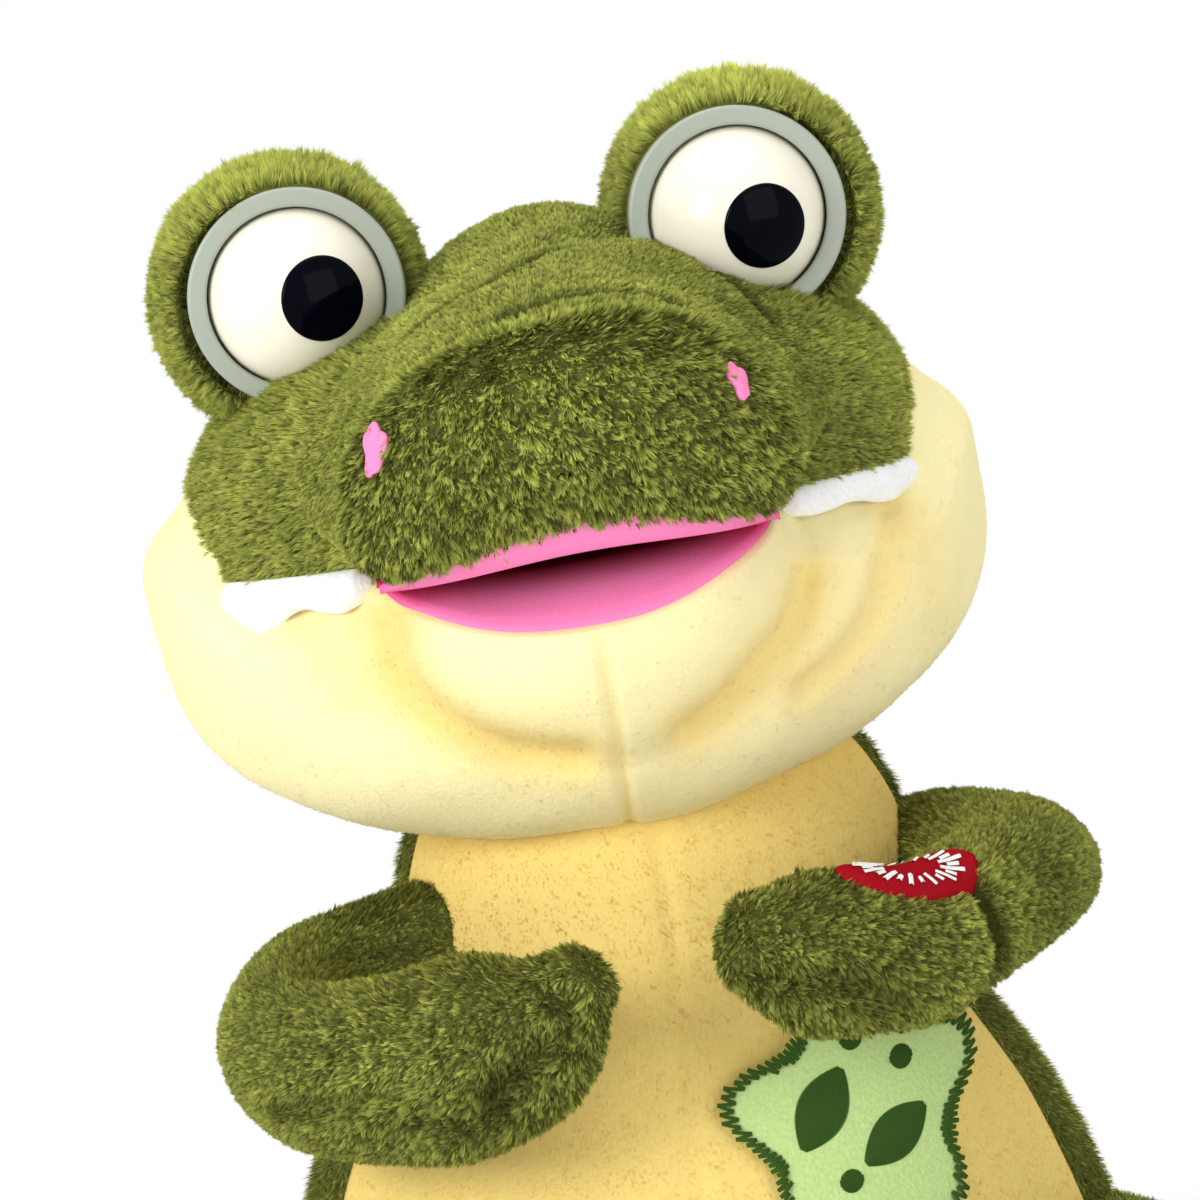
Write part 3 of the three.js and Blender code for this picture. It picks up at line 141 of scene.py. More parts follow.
# Arms, legs and tail: x, y, z along the path, then half width and half height of the stuffing
ARM_RIGHT_ROWS = [
    (-27, -20, 125, 15, 14), (-42, -20, 124.5, 19.5, 17), (-60, -23.5, 121, 20, 17),
    (-64, -42, 117, 18, 17.5), (-53, -60, 115, 18, 17), (-38, -73, 116, 18.5, 18.5),
    (-24, -80, 120, 14, 14.5), (-13.5, -84, 128, 7, 7),
]
ARM_LEFT_ROWS = [
    (40, -11, 124, 12, 13), (57, -12, 123.5, 16.5, 15.5), (71, -26, 123.5, 17, 14),
    (68, -44, 123.5, 15.5, 12), (52.5, -61.5, 120, 14.5, 13.5), (38.5, -73, 121.5, 15, 14.5),
    (26.5, -80, 125, 13.5, 14), (17, -84, 129, 8, 9),
]
LEG_ROWS = [
    (50, 12, 42, 18, 18), (67, -4, 33, 24.5, 24.5), (80, -32, 27.5, 26.5, 26.5), (79, -66, 25, 25.5, 25.5),
    (77, -85, 26, 26.3, 26), (76.5, -99, 26, 22, 22), (76, -106.5, 26, 14.5, 14.5), (76, -110, 26, 6, 6),
]
TAIL_ROWS = [
    (0, 50, 37, 33, 33), (0, 72, 34, 32, 32), (0, 102, 26, 25, 25),
    (0, 132, 19, 17, 17), (0, 151, 15, 10, 10), (0, 156, 14, 4, 4),
]
# Tucks sewn or folded into the arms: a line in space, then how wide and deep
ARM_RIGHT_TUCKS = (
    ([(-74, -59, 110), (-65.5, -73, 112), (-59, -80, 112.7), (-53, -85, 112.6)], 2.2, 3.0),
    ([(-49, -86, 108), (-40, -88, 105.3), (-36, -89, 105.4), (-33, -90, 108.7), (-31, -92, 113),
      (-22, -93, 117.6)], 2.8, 5.0),
    ([(-20, -91, 128), (-17.5, -91.5, 125.5), (-16.8, -91, 121), (-17.6, -91, 117)], 2.0, 2.6),
    ([(-46, -72, 134), (-48, -83, 128), (-49, -87, 122), (-50, -87, 117), (-51.5, -82, 106)], 6.0, 3.2),
    ([(-58, -47, 132), (-53, -41, 132), (-47, -39.5, 131), (-38, -37, 131)], 6.5, 4.5),
)
ARM_LEFT_TUCKS = (
    ([(60, -68, 131), (62, -70, 121), (61.5, -67, 112), (58, -62, 106)], 3.2, 3.0),
    ([(16, -91, 123), (23, -93, 121), (30, -93, 120.7), (35, -91, 118), (39, -88, 114),
      (44, -81, 108)], 2.4, 4.4),
)
# A tuck narrower than this is a sewn line, a wider one a soft fold
NARROW_TUCK = 4
# Rows, tucks and body of each limb
LIMBS = {
    "arm_left": (ARM_LEFT_ROWS, ARM_LEFT_TUCKS, "arm_left"),
    "arm_right": (ARM_RIGHT_ROWS, ARM_RIGHT_TUCKS, "arm_right"),
    "leg_left": (LEG_ROWS, (), "body"),
    "leg_right": ([(-row[0], *row[1:]) for row in LEG_ROWS], (), "body"),
    "tail": (TAIL_ROWS, (), "body"),
}

# How far each pupil sits off its solid one, as a share of the eyeball's radius
PUPIL_SHIFT = {"left": np.zeros(3), "right": np.array([0.045, 0.0, 0.12])}

# Eyes: how far the ball sits behind the front of its ring, and the radius of a pupil
EYE_SET = 7
PUPIL_RADIUS = 7.9
# Rings: how far the lip and the wall reach in from the outer edge, roundness of the edges, and depth
RING = {"lip": 3.7, "wall": 2.8, "edge": 0.7, "deep": 14.0}
# Hoods: radius of the opening, how far the ball of plush sits behind the ring, and to its own side
HOOD = {"opening": 20.9, "set": 17, "outward": 1.6}

# Strands of each pile, and the seed of its random numbers
PILES = {
    "belly_pile": (130000, 11),
    "body_back_pile": (100000, 12),
    "crown_pile": (190000, 21),
    "snout_pile": (190000, 22),
    "face_pile": (155000, 23),
    "hood_pile_left": (76000, 31),
    "hood_pile_right": (76000, 32),
    "arm_left_pile": (185000, 41),
    "arm_right_pile": (190000, 42),
    "leg_left_pile": (55000, 43),
    "leg_right_pile": (55000, 44),
    "tail_pile": (44000, 45),
}
# Width of a small lock of pile, and how much of the way to its middle a tip is drawn
LOCK_ACROSS = 0.75
LOCK_PULL = 0.6
# How far below the cloth a strand starts
ROOT_DEPTH = 0.3
# Width of a strand of yellow pile. A real fibre is about 0.02 mm across, too fine to show, so each strand,
# also of the green pile, stands for a tuft of them and is drawn as coarse as it needs to show.
FINE_STRAND = 0.28

# Belly patch: count of the soft points of its star, radius between them, and how far they reach out
STAR = {"points": 5, "inner": 17.5, "reach": 8}
# Press patch on the left arm: half sizes along the arm and round it, and its place from the solid one
PRESS = {"half_long": 17.0, "half_round": 8.2, "shift": np.array([-6.0, -1.0, 5.0])}

# Hard pieces that keep their solids: material, colour, roughness, share of metal, and the pieces.
# Moulded plastic is even and satin, drawn steel and copper wire shine, and lacquered board and printed film
# lie between.
HARD_PIECES = (
    ("dark_shell_plastic", "#3c4042", 0.5, 0.0, (
        "base_plate", "battery_door", "gearbox_front", "gearbox_back", "skull_frame", "press_switch_case")),
    ("cream_gear_plastic", "#e9e4d2", 0.45, 0.0, (
        "power_switch_knob", "drive_pinion", "neck_yoke", "jaw_plate", "jaw_pinion", "eye_link_bar",
        "arm_lever_left", "arm_lever_right", "press_button")),
    ("steel", "#b4b8bc", 0.32, 1.0, (
        "door_screw", "contact_strip_left", "contact_strip_right", "speaker", "drive_motor", "neck_pin",
        "arm_pin_left", "arm_pin_right", "jaw_motor", "jaw_pin")),
    ("copper_winding", "#a8683c", 0.42, 1.0, ("eye_coil",)),
    ("green_circuit_board", "#2f6a3c", 0.55, 0.0, ("circuit_board",)),
    ("printed_cell_wrap", "#33506a", 0.38, 0.0, ("battery_front", "battery_middle", "battery_rear")),
)

# Soft boxes: place and width in metres, and watts; all look at one place on the toy
LAMPS = {
    "key_light": ((-1.05, -1.0, 0.76), 0.7, 16),
    "fill_light": ((0.75, -1.2, 0.4), 1.0, 6),
    "top_light": ((0.1, -0.1, 1.35), 1.2, 8),
    "back_light": ((0.2, 1.2, 0.9), 1.0, 8),
}
LAMP_AIM = (0, 0, 0.18)
# Strength of the white that lights the toy from all round
WORLD_LIGHT = 0.42
# Floor: half its side and its height, then the distances in metres over which it turns white
FLOOR = {"half": 2500.0, "z": -0.4, "from": 0.2, "to": 0.34}

# Camera: the toy leans in the picture, so the camera is rolled; angles in degrees
CAMERA = {
    "aim": (3.4, -30.0, 190.0), "distance": 1100.0, "azimuth": -1.7, "elevation": 6.0, "roll": 10.5,
    "frame": 228.0, "sensor": 36,
}


def linear(code):
    """Linear red, green and blue of an sRGB colour written as #rrggbb."""
    parts = [int(code[i:i + 2], 16) / 255 for i in (1, 3, 5)]
    return tuple(p / 12.92 if p <= 0.04045 else ((p + 0.055) / 1.055) ** 2.4 for p in parts)


def colour_property(name, description, code):
    return bpy.props.FloatVectorProperty(
        name=name, description=description, subtype="COLOR", size=3, min=0, max=1, default=linear(code))


def length_property(name, description, millimetres):
    return bpy.props.FloatProperty(
        name=name, description=description, default=millimetres * MM, min=0, unit="LENGTH", precision=5)


class CrocodileColours(bpy.types.PropertyGroup):
    """Colours of the cloths and plastics."""

    # Roots: each pile's colour deep between its strands, darker than its tips as a painted shade
    green_root: colour_property("Green root", "Colour deep in the green pile", "#323a0c")
    green_tip: colour_property("Green tip", "Colour of the green pile's tips", "#c0c662")
    # Painted shade deep in the face's pile
    yellow_root: colour_property("Yellow root", "Colour deep in the yellow pile of the face", "#f9eeb6")
    yellow_tip: colour_property("Yellow tip", "Colour of the tips of the face's pile", "#fdf9da")
    # Painted warm shade in the folds of the yellow cloth
    yellow_crease: colour_property("Yellow crease", "Warm colour in the folds of the yellow cloth", "#ecc760")
    # Painted shade deep in the belly's pile
    belly_root: colour_property("Belly root", "Colour deep in the pile of the belly", "#f1d57f")
    belly_tip: colour_property("Belly tip", "Colour of the tips of the belly's pile", "#f7df93")
    # Painted shade of the pink fleece deep in the mouth
    throat_shade: colour_property("Throat", "Fleece deep in the mouth", "#d4005c")
    pink: colour_property("Pink", "Fleece of the mouth and the nostrils", "#fd8abf")
    white: colour_property("White", "Velour of the teeth", "#fbfbf8")
    eye: colour_property("Eye", "Glossy plastic of the eyeballs", "#f2edd9")
    pupil: colour_property("Pupil", "Glossy plastic of the pupils", "#03040c")
    ring: colour_property("Ring", "Satin plastic of the eye rings", "#9fa699")
    red: colour_property("Red", "Embroidered press patch", "#9d1620")
    felt: colour_property("Felt", "Pale felt of the belly patch", "#c4de92")
    thread: colour_property("Thread", "Dark green thread on the belly patch", "#3c5a26")


class CrocodileSizes(bpy.types.PropertyGroup):
    """Sizes that are the cloth's own."""

    green_pile: length_property("Green pile", "Length of the green pile", 2.1)
    yellow_pile: length_property("Yellow pile", "Length of the yellow pile", 0.9)
    strand: length_property("Strand", "Width of a strand of green pile", 0.36)
    cheek_width: length_property("Cheek width", "Half width of the face across the cheeks", 82.0)
    eye_radius: length_property("Eye radius", "Radius of an eyeball", 17.3)
    hood_radius: length_property("Hood radius", "Radius of the plush round an eye", 25.6)
    seam_depth: length_property("Seam depth", "How far a seam pulls the cloth in", 1.6)


# Curves and noise

def smooth_step(value, low, high):
    """Smooth rise from 0 at low to 1 at high."""
    t = np.clip((np.asarray(value, float) - low) / (high - low), 0, 1)
    return t * t * (3 - 2 * t)


def signed_power(value, exponent):
    return np.sign(value) * np.abs(value) ** exponent


def smooth_rows(rows, t):
    """Points at t, from 0 to 1, on a curve that runs smoothly through all the rows."""
    rows = np.asarray(rows, float)
    padded = np.vstack([2 * rows[0] - rows[1], rows, 2 * rows[-1] - rows[-2]])
    place = np.clip(t, 0, 1) * (len(rows) - 1)
    k = np.minimum(place.astype(int), len(rows) - 2)
    f = (place - k)[:, None]
    a, b, c, d = (padded[k + i] for i in range(4))
    slope = (c - a) * f
    bend = (2 * a - 5 * b + 4 * c - d) * f ** 2
    twist = (3 * b - a - 3 * c + d) * f ** 3
    return 0.5 * (2 * b + slope + bend + twist)


def soft_noise(points, size, seed):
    """Smooth noise between about -1 and 1: sine waves in random directions, about size apart."""
    rng = np.random.default_rng(seed)
    total = np.zeros(points.shape[:-1])
    waves = 8
    for _ in range(waves):
        direction = rng.normal(size=3)
        direction /= np.linalg.norm(direction)
        turns = rng.uniform(0.6, 1.5) * 2 * math.pi / size
        total += np.sin(points @ direction * turns + rng.uniform(0, 2 * math.pi))
    return total * 1.7 / waves


def ridge(distance, width):
    """Bell curve of height 1 round distance 0."""
    return np.exp(-(distance / width) ** 2)


def dome(share, power):
    """Height of a swollen dome, 1 in the middle and 0 where share reaches 1."""
    return np.maximum(1 - np.minimum(share, 1) ** power, 1e-6) ** (1 / power)


def full_turn(count):
    """Angles spread evenly over one turn."""
    return np.linspace(0, 2 * math.pi, count, endpoint=False)


def unit(vectors):
    return vectors / np.maximum(np.linalg.norm(vectors, axis=-1, keepdims=True), 1e-9)


def level_out(points):
    """Level unit vectors from the toy's middle line to the points."""
    return unit(points * [1, 1, 0])


# Meshes

def grid_triangles(rows, columns, wrap_rows, wrap_columns):
    """Two triangles for each cell of a grid of rows by columns points."""
    i = np.arange(rows if wrap_rows else rows - 1)[:, None]
    j = np.arange(columns if wrap_columns else columns - 1)[None, :]
    a = i * columns + j
    b = i * columns + (j + 1) % columns
    c = ((i + 1) % rows) * columns + (j + 1) % columns
    d = ((i + 1) % rows) * columns + j
    return np.concatenate([np.stack([a, b, c], -1).reshape(-1, 3), np.stack([a, c, d], -1).reshape(-1, 3)])


def facing_out(points, faces):
    """The same triangles, turned over if the closed form they make is inside out."""
    a, b, c = (points[faces[:, k]] for k in range(3))
    volume = np.einsum("ij,ij->i", a, np.cross(b, c)).sum()
    return faces if volume > 0 else faces[:, ::-1]


def facing(points, faces, way):
    """The same triangles, each turned over if it looks away from the given direction."""
    a, b, c = (points[faces[:, k]] for k in range(3))
    backwards = np.cross(b - a, c - a) @ way < 0
    return np.where(backwards[:, None], faces[:, ::-1], faces)


def copied_faces(single, copies, points_each):
    """Triangles of one form repeated for copies whose points follow one another."""
    return np.concatenate([single + k * points_each for k in range(copies)])


def closed_tube(rings):
    """Closed form over rings of points, shape rings by points by 3, each end closed by a fan."""
    count, sides = rings.shape[:2]
    points = np.vstack([rings.reshape(-1, 3), rings[0].mean(0), rings[-1].mean(0)])
    around = np.arange(sides)
    after = (around + 1) % sides
    first = np.stack([np.full(sides, count * sides), after, around], -1)
    low = (count - 1) * sides
    last = np.stack([np.full(sides, count * sides + 1), low + around, low + after], -1)
    faces = np.concatenate([grid_triangles(count, sides, False, True), first, last])
    return points, facing_out(points, faces)


def closed_strip(outer, inner):
    """Closed form between an outer and an inner sheet of the same grid, shape rows by columns by 3."""
    rows, columns = outer.shape[:2]
    points = np.concatenate([outer, inner[::-1]]).reshape(-1, 3)
    faces = [grid_triangles(2 * rows, columns, True, False)]
    i = np.arange(rows - 1)
    far = 2 * rows - 1 - i
    for column, turned in ((0, False), (columns - 1, True)):
        a, b, c, d = (k * columns + column for k in (i, i + 1, far - 1, far))
        ends = np.concatenate([np.stack([a, b, c], -1), np.stack([a, c, d], -1)])
        faces.append(ends[:, ::-1] if turned else ends)
    faces = np.concatenate(faces)
    return points, facing_out(points, faces)


def vertex_normals(points, faces):
    a, b, c = (points[faces[:, k]] for k in range(3))
    face_normal = np.cross(b - a, c - a)
    total = np.zeros_like(points)
    for k in range(3):
        np.add.at(total, faces[:, k], face_normal)
    return unit(total)


def put_mesh(name, points, faces, material, marks=None, normals=None):
    """Object from whole arrays of points and triangles.

    Marks are numbers for each point that materials read, normals are its own directions of shading.
    """
    mesh = bpy.data.meshes.new(name)
    mesh.vertices.add(len(points))
    mesh.vertices.foreach_set("co", (points * MM).astype(np.float32).ravel())
    mesh.loops.add(faces.size)
    mesh.loops.foreach_set("vertex_index", faces.astype(np.int32).ravel())
    mesh.polygons.add(len(faces))
    mesh.polygons.foreach_set("loop_start", np.arange(0, faces.size, 3, dtype=np.int32))
    mesh.update(calc_edges=True)
    mesh.shade_smooth()
    for mark, values in (marks or {}).items():
        attribute = mesh.attributes.new(mark, "FLOAT", "POINT")
        attribute.data.foreach_set("value", values.astype(np.float32))
    if normals is not None:
        mesh.normals_split_custom_set_from_vertices(normals.astype(np.float32))
    mesh.materials.append(material)
    piece = bpy.data.objects.new(name, mesh)
    bpy.context.scene.collection.objects.link(piece)
    return piece


def lock_numbers(roots, across, seed):
    """Number of the small lock that each root belongs to: cells of a grid, bent by noise."""
    bend = np.stack([soft_noise(roots, 5 * across, seed + k) for k in range(3)], -1)
    cells = np.floor(roots / across + 0.7 * bend).astype(np.int64)
    cells = cells - cells.min(0)
    spans = cells.max(0) + 1
    packed = (cells[:, 0] * spans[1] + cells[:, 1]) * spans[2] + cells[:, 2]
    _, number = np.unique(packed, return_inverse=True)
    return number


def at_each(value, points):
    """A setting that is either a number or a function of the places."""
    return value(points) if callable(value) else np.full(len(points), float(value))


def grow_pile(name, surface, material, nap, weight, length, width, droop=0.75, crease=0.0, rough=0.3,
              fringe=0.0):
    """Short strands over a surface, each a thin leaning triangle, gathered into small locks.

    Roots are spread over the surface by area times weight. A strand leans from the normal into the nap
    direction. The strands of one lock share a turn, a length and a shade, and their tips lean together.
    Length, droop, crease shade, rough and fringe light are numbers or functions of the place. The crease
    shade is a painted shade in creases. The fringe light makes the pile longer and paints it paler, a painted
    highlight; below 0 it makes it shorter and darker, a painted shade. Angles are in radians.
    """
    points, faces = surface
    count, seed = PILES[name]
    rng = np.random.default_rng(seed)
    normals = vertex_normals(points, faces)
    a, b, c = (points[faces[:, k]] for k in range(3))
    area = np.linalg.norm(np.cross(b - a, c - a), axis=1) * np.maximum(weight((a + b + c) / 3), 0)
    total = np.cumsum(area)
    face = np.searchsorted(total, rng.random(count) * total[-1])
    u, v = rng.random((2, count))
    fold = u + v > 1
    u = np.where(fold, 1 - u, u)[:, None]
    v = np.where(fold, 1 - v, v)[:, None]
    root = a[face] * (1 - u - v) + b[face] * u + c[face] * v
    corner = faces[face]
    up = unit(normals[corner[:, 0]] * (1 - u - v) + normals[corner[:, 1]] * u + normals[corner[:, 2]] * v)

    lock = lock_numbers(root, LOCK_ACROSS, seed + 5)
    members = np.bincount(lock)
    middle = np.stack([np.bincount(lock, root[:, k]) / members for k in range(3)], -1)[lock]
    uneven = at_each(rough, root)
    extra = at_each(fringe, root)

    lie = nap(root, up)
    lie = unit(lie - up * np.sum(lie * up, axis=1, keepdims=True))
    wander = 0.5 * soft_noise(root, 8.0, seed + 1)
    turn = wander + rng.normal(0, 0.35, len(members))[lock] + rng.normal(0, 0.15, count)
    turn = turn * np.clip(uneven / 0.25, 0.2, 1)
    lie = lie * np.cos(turn)[:, None] + np.cross(up, lie) * np.sin(turn)[:, None]
    lean = at_each(droop, root) + 0.2 * soft_noise(root, 5.0, seed + 3)
    lean = lean + rng.normal(0, 0.12, len(members))[lock]
    lean = np.clip(lean, 0.05, 1.3)[:, None]
    tuft = soft_noise(root, 2.6, seed + 2)
    tall = at_each(length, root) * (1 + uneven * tuft) * (1 + 0.5 * extra)
    tall = (tall * rng.uniform(0.8, 1.15, len(members))[lock] * rng.uniform(0.85, 1.1, count))[:, None]
    way = up * np.cos(lean) + lie * np.sin(lean)
    side = unit(np.cross(lie, up) + up * rng.normal(0, 0.3, count)[:, None])
    side = side * (width * rng.uniform(0.8, 1.2, count))[:, None]
    low = root - up * ROOT_DEPTH
    tip = low + way * tall + LOCK_PULL * (middle - root)
    blades = np.stack([low - side * 0.5, low + side * 0.5, tip], 1)
    blade_faces = np.arange(3 * count).reshape(-1, 3)
    of_lock = 0.8 * rng.normal(size=len(members))[lock]
    of_strand = 0.3 * rng.normal(size=count)
    shade = 0.5 + uneven * (0.6 * tuft + of_lock + of_strand)
    # along runs from 0 at the root to 1 at the tip and gives the painted shade deep in the pile; shade is a
    # random tone of each lock and strand, plus the painted highlight or shade of the fringe; the crease mark
    # is a painted shade
    marks = {
        "along": np.tile([0.0, 0.0, 1.0], count),
        "shade": np.repeat(shade + 0.4 * extra, 3),
        "crease": np.repeat(at_each(crease, root), 3),
    }
    scatter = 0.7 * rng.normal(size=(len(members), 3))[lock] + 0.5 * rng.normal(size=(count, 3))
    soft = np.repeat(unit(up + uneven[:, None] * scatter), 3, axis=0)
    return put_mesh(name, blades.reshape(-1, 3), blade_faces, material, marks, soft)


# Materials

MATERIALS = {}


def add_node(tree, kind, settings=None, inputs=None):
    """New node with its settings, and with inputs set to a value or linked from an output."""
    node = tree.nodes.new(kind)
    for key, value in (settings or {}).items():
        setattr(node, key, value)
    for key, value in (inputs or {}).items():
        if isinstance(value, bpy.types.NodeSocket):
            tree.links.new(value, node.inputs[key])
        else:
            node.inputs[key].default_value = value
    return node


def new_material(name, inputs):
    """Material with one surface shader; returns the material, its node tree and the shader."""
    material = bpy.data.materials.new(name)
    MATERIALS[name] = material
    material.use_nodes = True
    tree = material.node_tree
    tree.nodes.clear()
    shader = add_node(tree, "ShaderNodeBsdfPrincipled", inputs=inputs)
    add_node(tree, "ShaderNodeOutputMaterial", inputs={"Surface": shader.outputs["BSDF"]})
    return material, tree, shader


def opaque(colour):
    return (*colour, 1.0)


def scaled(colour, factor):
    return tuple(min(part * factor, 1.0) for part in colour)


def noise_node(tree, millimetres, detail=2.0):
    """Noise with features of about the given size, over the piece's own coordinates."""
    place = add_node(tree, "ShaderNodeTexCoord")
    return add_node(tree, "ShaderNodeTexNoise", inputs={
        "Vector": place.outputs["Object"], "Scale": 1 / (millimetres * MM), "Detail": detail})


def mixed_colour(tree, factor, first, second):
    """Output that runs from the first colour to the second with factor.

    Either may be a colour or an output.
    """
    mix = add_node(tree, "ShaderNodeMix", {"data_type": "RGBA"}, {0: factor, 6: first, 7: second})
    return mix.outputs[2]


def pile_material(name, root, tip, crease, contrast, sheen):
    """Pile: a painted shade, dark between the strands, paler at their tips.

    Each tuft is a little lighter or darker than the next, and so are patches as wide as a stroking thumb.
    """
    material, tree, shader = new_material(name, {
        "Roughness": 0.9, "Specular IOR Level": 0.05, "Sheen Weight": sheen, "Sheen Tint": opaque(tip)})
    marks = {mark: add_node(tree, "ShaderNodeAttribute", {"attribute_name": mark}).outputs["Fac"]
             for mark in ("along", "shade", "crease")}
    # Painted shade deep in the pile: each strand runs from the shaded root colour to the tip colour, and
    # creases mix in a painted shade colour
    strand = mixed_colour(tree, marks["along"], opaque(root), opaque(tip))
    strand = mixed_colour(tree, marks["crease"], strand, opaque(crease))
    tint = add_node(tree, "ShaderNodeMapRange", inputs={
        "Value": marks["shade"], "To Min": 1 - contrast, "To Max": 1 + contrast})
    patches = noise_node(tree, 28, 1.0)
    drift = add_node(tree, "ShaderNodeMapRange", inputs={
        "Value": patches.outputs["Fac"], "From Min": 0.3, "From Max": 0.7,
        "To Min": 1 - contrast / 3, "To Max": 1 + contrast / 3})
    both = add_node(tree, "ShaderNodeMath", {"operation": "MULTIPLY"}, {
        0: tint.outputs[0], 1: drift.outputs[0]})
    final = add_node(tree, "ShaderNodeVectorMath", {"operation": "SCALE"}, {
        0: strand, "Scale": both.outputs[0]})
    tree.links.new(final.outputs[0], shader.inputs["Base Color"])
    through = add_node(tree, "ShaderNodeBsdfTranslucent", inputs={"Color": final.outputs[0]})
    thin = add_node(tree, "ShaderNodeMixShader", inputs={
        0: 0.38, 1: shader.outputs["BSDF"], 2: through.outputs["BSDF"]})
    tree.links.new(thin.outputs[0], tree.nodes["Material Output"].inputs["Surface"])
    return material


def cloth_material(name, colour, millimetres, height, roughness=0.95, sheen=0.15, grain_depth=0.18,
                   crease=None):
    """Matt cloth: fine grain in colour and relief, and a soft pale edge from its fuzz.

    The grain is as large as a knitted loop or a thread, and coarser under the green pile, where a fine one
    would not show.
    """
    material, tree, shader = new_material(name, {"Roughness": roughness, "Sheen Weight": sheen})
    shader.inputs["Specular IOR Level"].default_value = 0.0
    grain = noise_node(tree, millimetres, 3.0)
    dark = opaque(scaled(colour, 1 - grain_depth))
    pale = opaque(scaled(colour, 1 + grain_depth))
    cloth = mixed_colour(tree, grain.outputs["Fac"], dark, pale)
    # Painted shade: the crease mark mixes a shade colour into tucks, folds and the deep mouth
    if crease:
        mark = add_node(tree, "ShaderNodeAttribute", {"attribute_name": "crease"})
        cloth = mixed_colour(tree, mark.outputs["Fac"], cloth, opaque(crease))
    tree.links.new(cloth, shader.inputs["Base Color"])
    relief = add_node(tree, "ShaderNodeBump", inputs={
        "Height": grain.outputs["Fac"], "Distance": height * MM, "Strength": 0.8})
    tree.links.new(relief.outputs["Normal"], shader.inputs["Normal"])
    shader.inputs["Sheen Tint"].default_value = opaque(colour)
    return material


def plastic_material(name, colour, roughness, metallic=0.0, specular=0.5, wear=0.04):
    """Moulded plastic or metal: even colour, with a faint unevenness in its gloss."""
    material, tree, shader = new_material(name, {
        "Base Color": opaque(colour), "Metallic": metallic, "Specular IOR Level": specular})
    smears = noise_node(tree, 9, 2.0)
    gloss = add_node(tree, "ShaderNodeMapRange", inputs={
        "Value": smears.outputs["Fac"], "To Min": max(roughness - wear, 0.02), "To Max": roughness + wear})
    tree.links.new(gloss.outputs[0], shader.inputs["Roughness"])
    return material


def palette():
    """The materials of the visible pieces, made once from the colour settings."""
    colours = {name: tuple(getattr(bpy.context.scene.crocodile_colours, name))
               for name in CrocodileColours.__annotations__}
    # Painted shades: dark green in the tucks of the green plush, warm yellow in the folds of the yellow cloth
    dark = scaled(colours["green_root"], 0.5)
    warm_fold_shade = colours["yellow_crease"]
    # Green plush, long polyester pile cut on a knitted backing: its backing and roots are painted dark as the
    # shade deep in the pile, where it parts, and its tips are pale
    cloth_material("green_plush_backing", scaled(colours["green_tip"], 0.2), 1.5, 0.6, crease=dark)
    pile_material("green_plush_pile", colours["green_root"], colours["green_tip"], dark, 0.62, 0.3)
    # Yellow plush, short polyester pile shorn level: nearly smooth; its folds get a warm painted shade,
    # and its backing and roots a slight painted shade
    cloth_material("yellow_plush_backing", colours["yellow_root"], 0.9, 0.15, grain_depth=0.04, crease=warm_fold_shade)
    cloth_material("belly_plush_backing", colours["belly_root"], 0.9, 0.15, grain_depth=0.04)
    pile_material("yellow_plush_pile", colours["yellow_root"], colours["yellow_tip"], warm_fold_shade, 0.1, 0.1)
    pile_material("belly_plush_pile", colours["belly_root"], colours["belly_tip"], warm_fold_shade, 0.07, 0.1)
    # Fleece, a brushed polyester knit: even and matt, with a painted shade where the mouth is deep
    cloth_material("pink_fleece", colours["pink"], 0.7, 0.15, sheen=0.0, grain_depth=0.07,
                   crease=colours["throat_shade"])
    # Velour, a shorn polyester knit: bright, with a fine grain
    cloth_material("white_velour", colours["white"], 0.8, 0.3)
    # Close machine stitching in rayon thread has a little gloss, pressed felt has none
    cloth_material("red_embroidery", colours["red"], 0.6, 0.3, roughness=0.7)
    cloth_material("green_felt", colours["felt"], 0.8, 0.3)
    cloth_material("dark_thread", colours["thread"], 0.4, 0.2, roughness=0.7)
    # Moulded plastic: the eyes' polished mould gives sharp reflections, the rings' blasted mould soft ones
    plastic_material("cream_gloss_plastic", colours["eye"], 0.1, specular=0.35)
    plastic_material("black_gloss_plastic", colours["pupil"], 0.1, specular=0.04)
    plastic_material("satin_ring_plastic", colours["ring"], 0.36)


# Surfaces of the toy

def distance_to(points, rows):
    """Distance of each point from a smooth line through the rows, in as many axes as the rows have."""
    line = smooth_rows(rows, np.linspace(0, 1, 6 * len(rows)))
    near = np.full(points.shape[:-1], 1e9)
    for start, end in zip(line[:-1], line[1:]):
        run = end - start
        share = np.clip((points - start) @ run / (run @ run), 0, 1)
        near = np.minimum(near, np.linalg.norm(points - start - share[..., None] * run, axis=-1))
    return near


def drawn_in(points, tucks):
    """How far the cloth is drawn in by tucks: a bell across each line."""
    return sum(depth * ridge(distance_to(points, line), width) for line, width, depth in tucks)


def size(name):
    """A size setting in millimetres."""
    return getattr(bpy.context.scene.crocodile_sizes, name) / MM


def solid_box(name):
    """Low and high corner of a solid's box in millimetres."""
    return [np.array(corner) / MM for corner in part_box(name)]


def body_section(z):
    """Half width, half depth and middle of the body at heights z: a pear, and a ball above the neck."""
    table = smooth_rows(BODY_ROWS, np.linspace(0, 1, 241))
    width = np.interp(z, table[:, 2], table[:, 0])
    depth = np.interp(z, table[:, 2], table[:, 1])
    neck = np.sqrt(np.maximum(NECK_RADIUS ** 2 - np.maximum(z - NECK_Z, 0) ** 2, 1))
    above = z > NECK_Z
    middle = np.where(above, 0, BODY_BACK_SHIFT * (1 - z / NECK_Z))
    return np.where(above, neck, width), np.where(above, neck, depth), middle


def body_lean(z):
    """How far the body's middle is moved to +X at heights z."""
    return BODY_LEAN["shift"] * smooth_step(z, BODY_LEAN["from"], BODY_LEAN["to"])


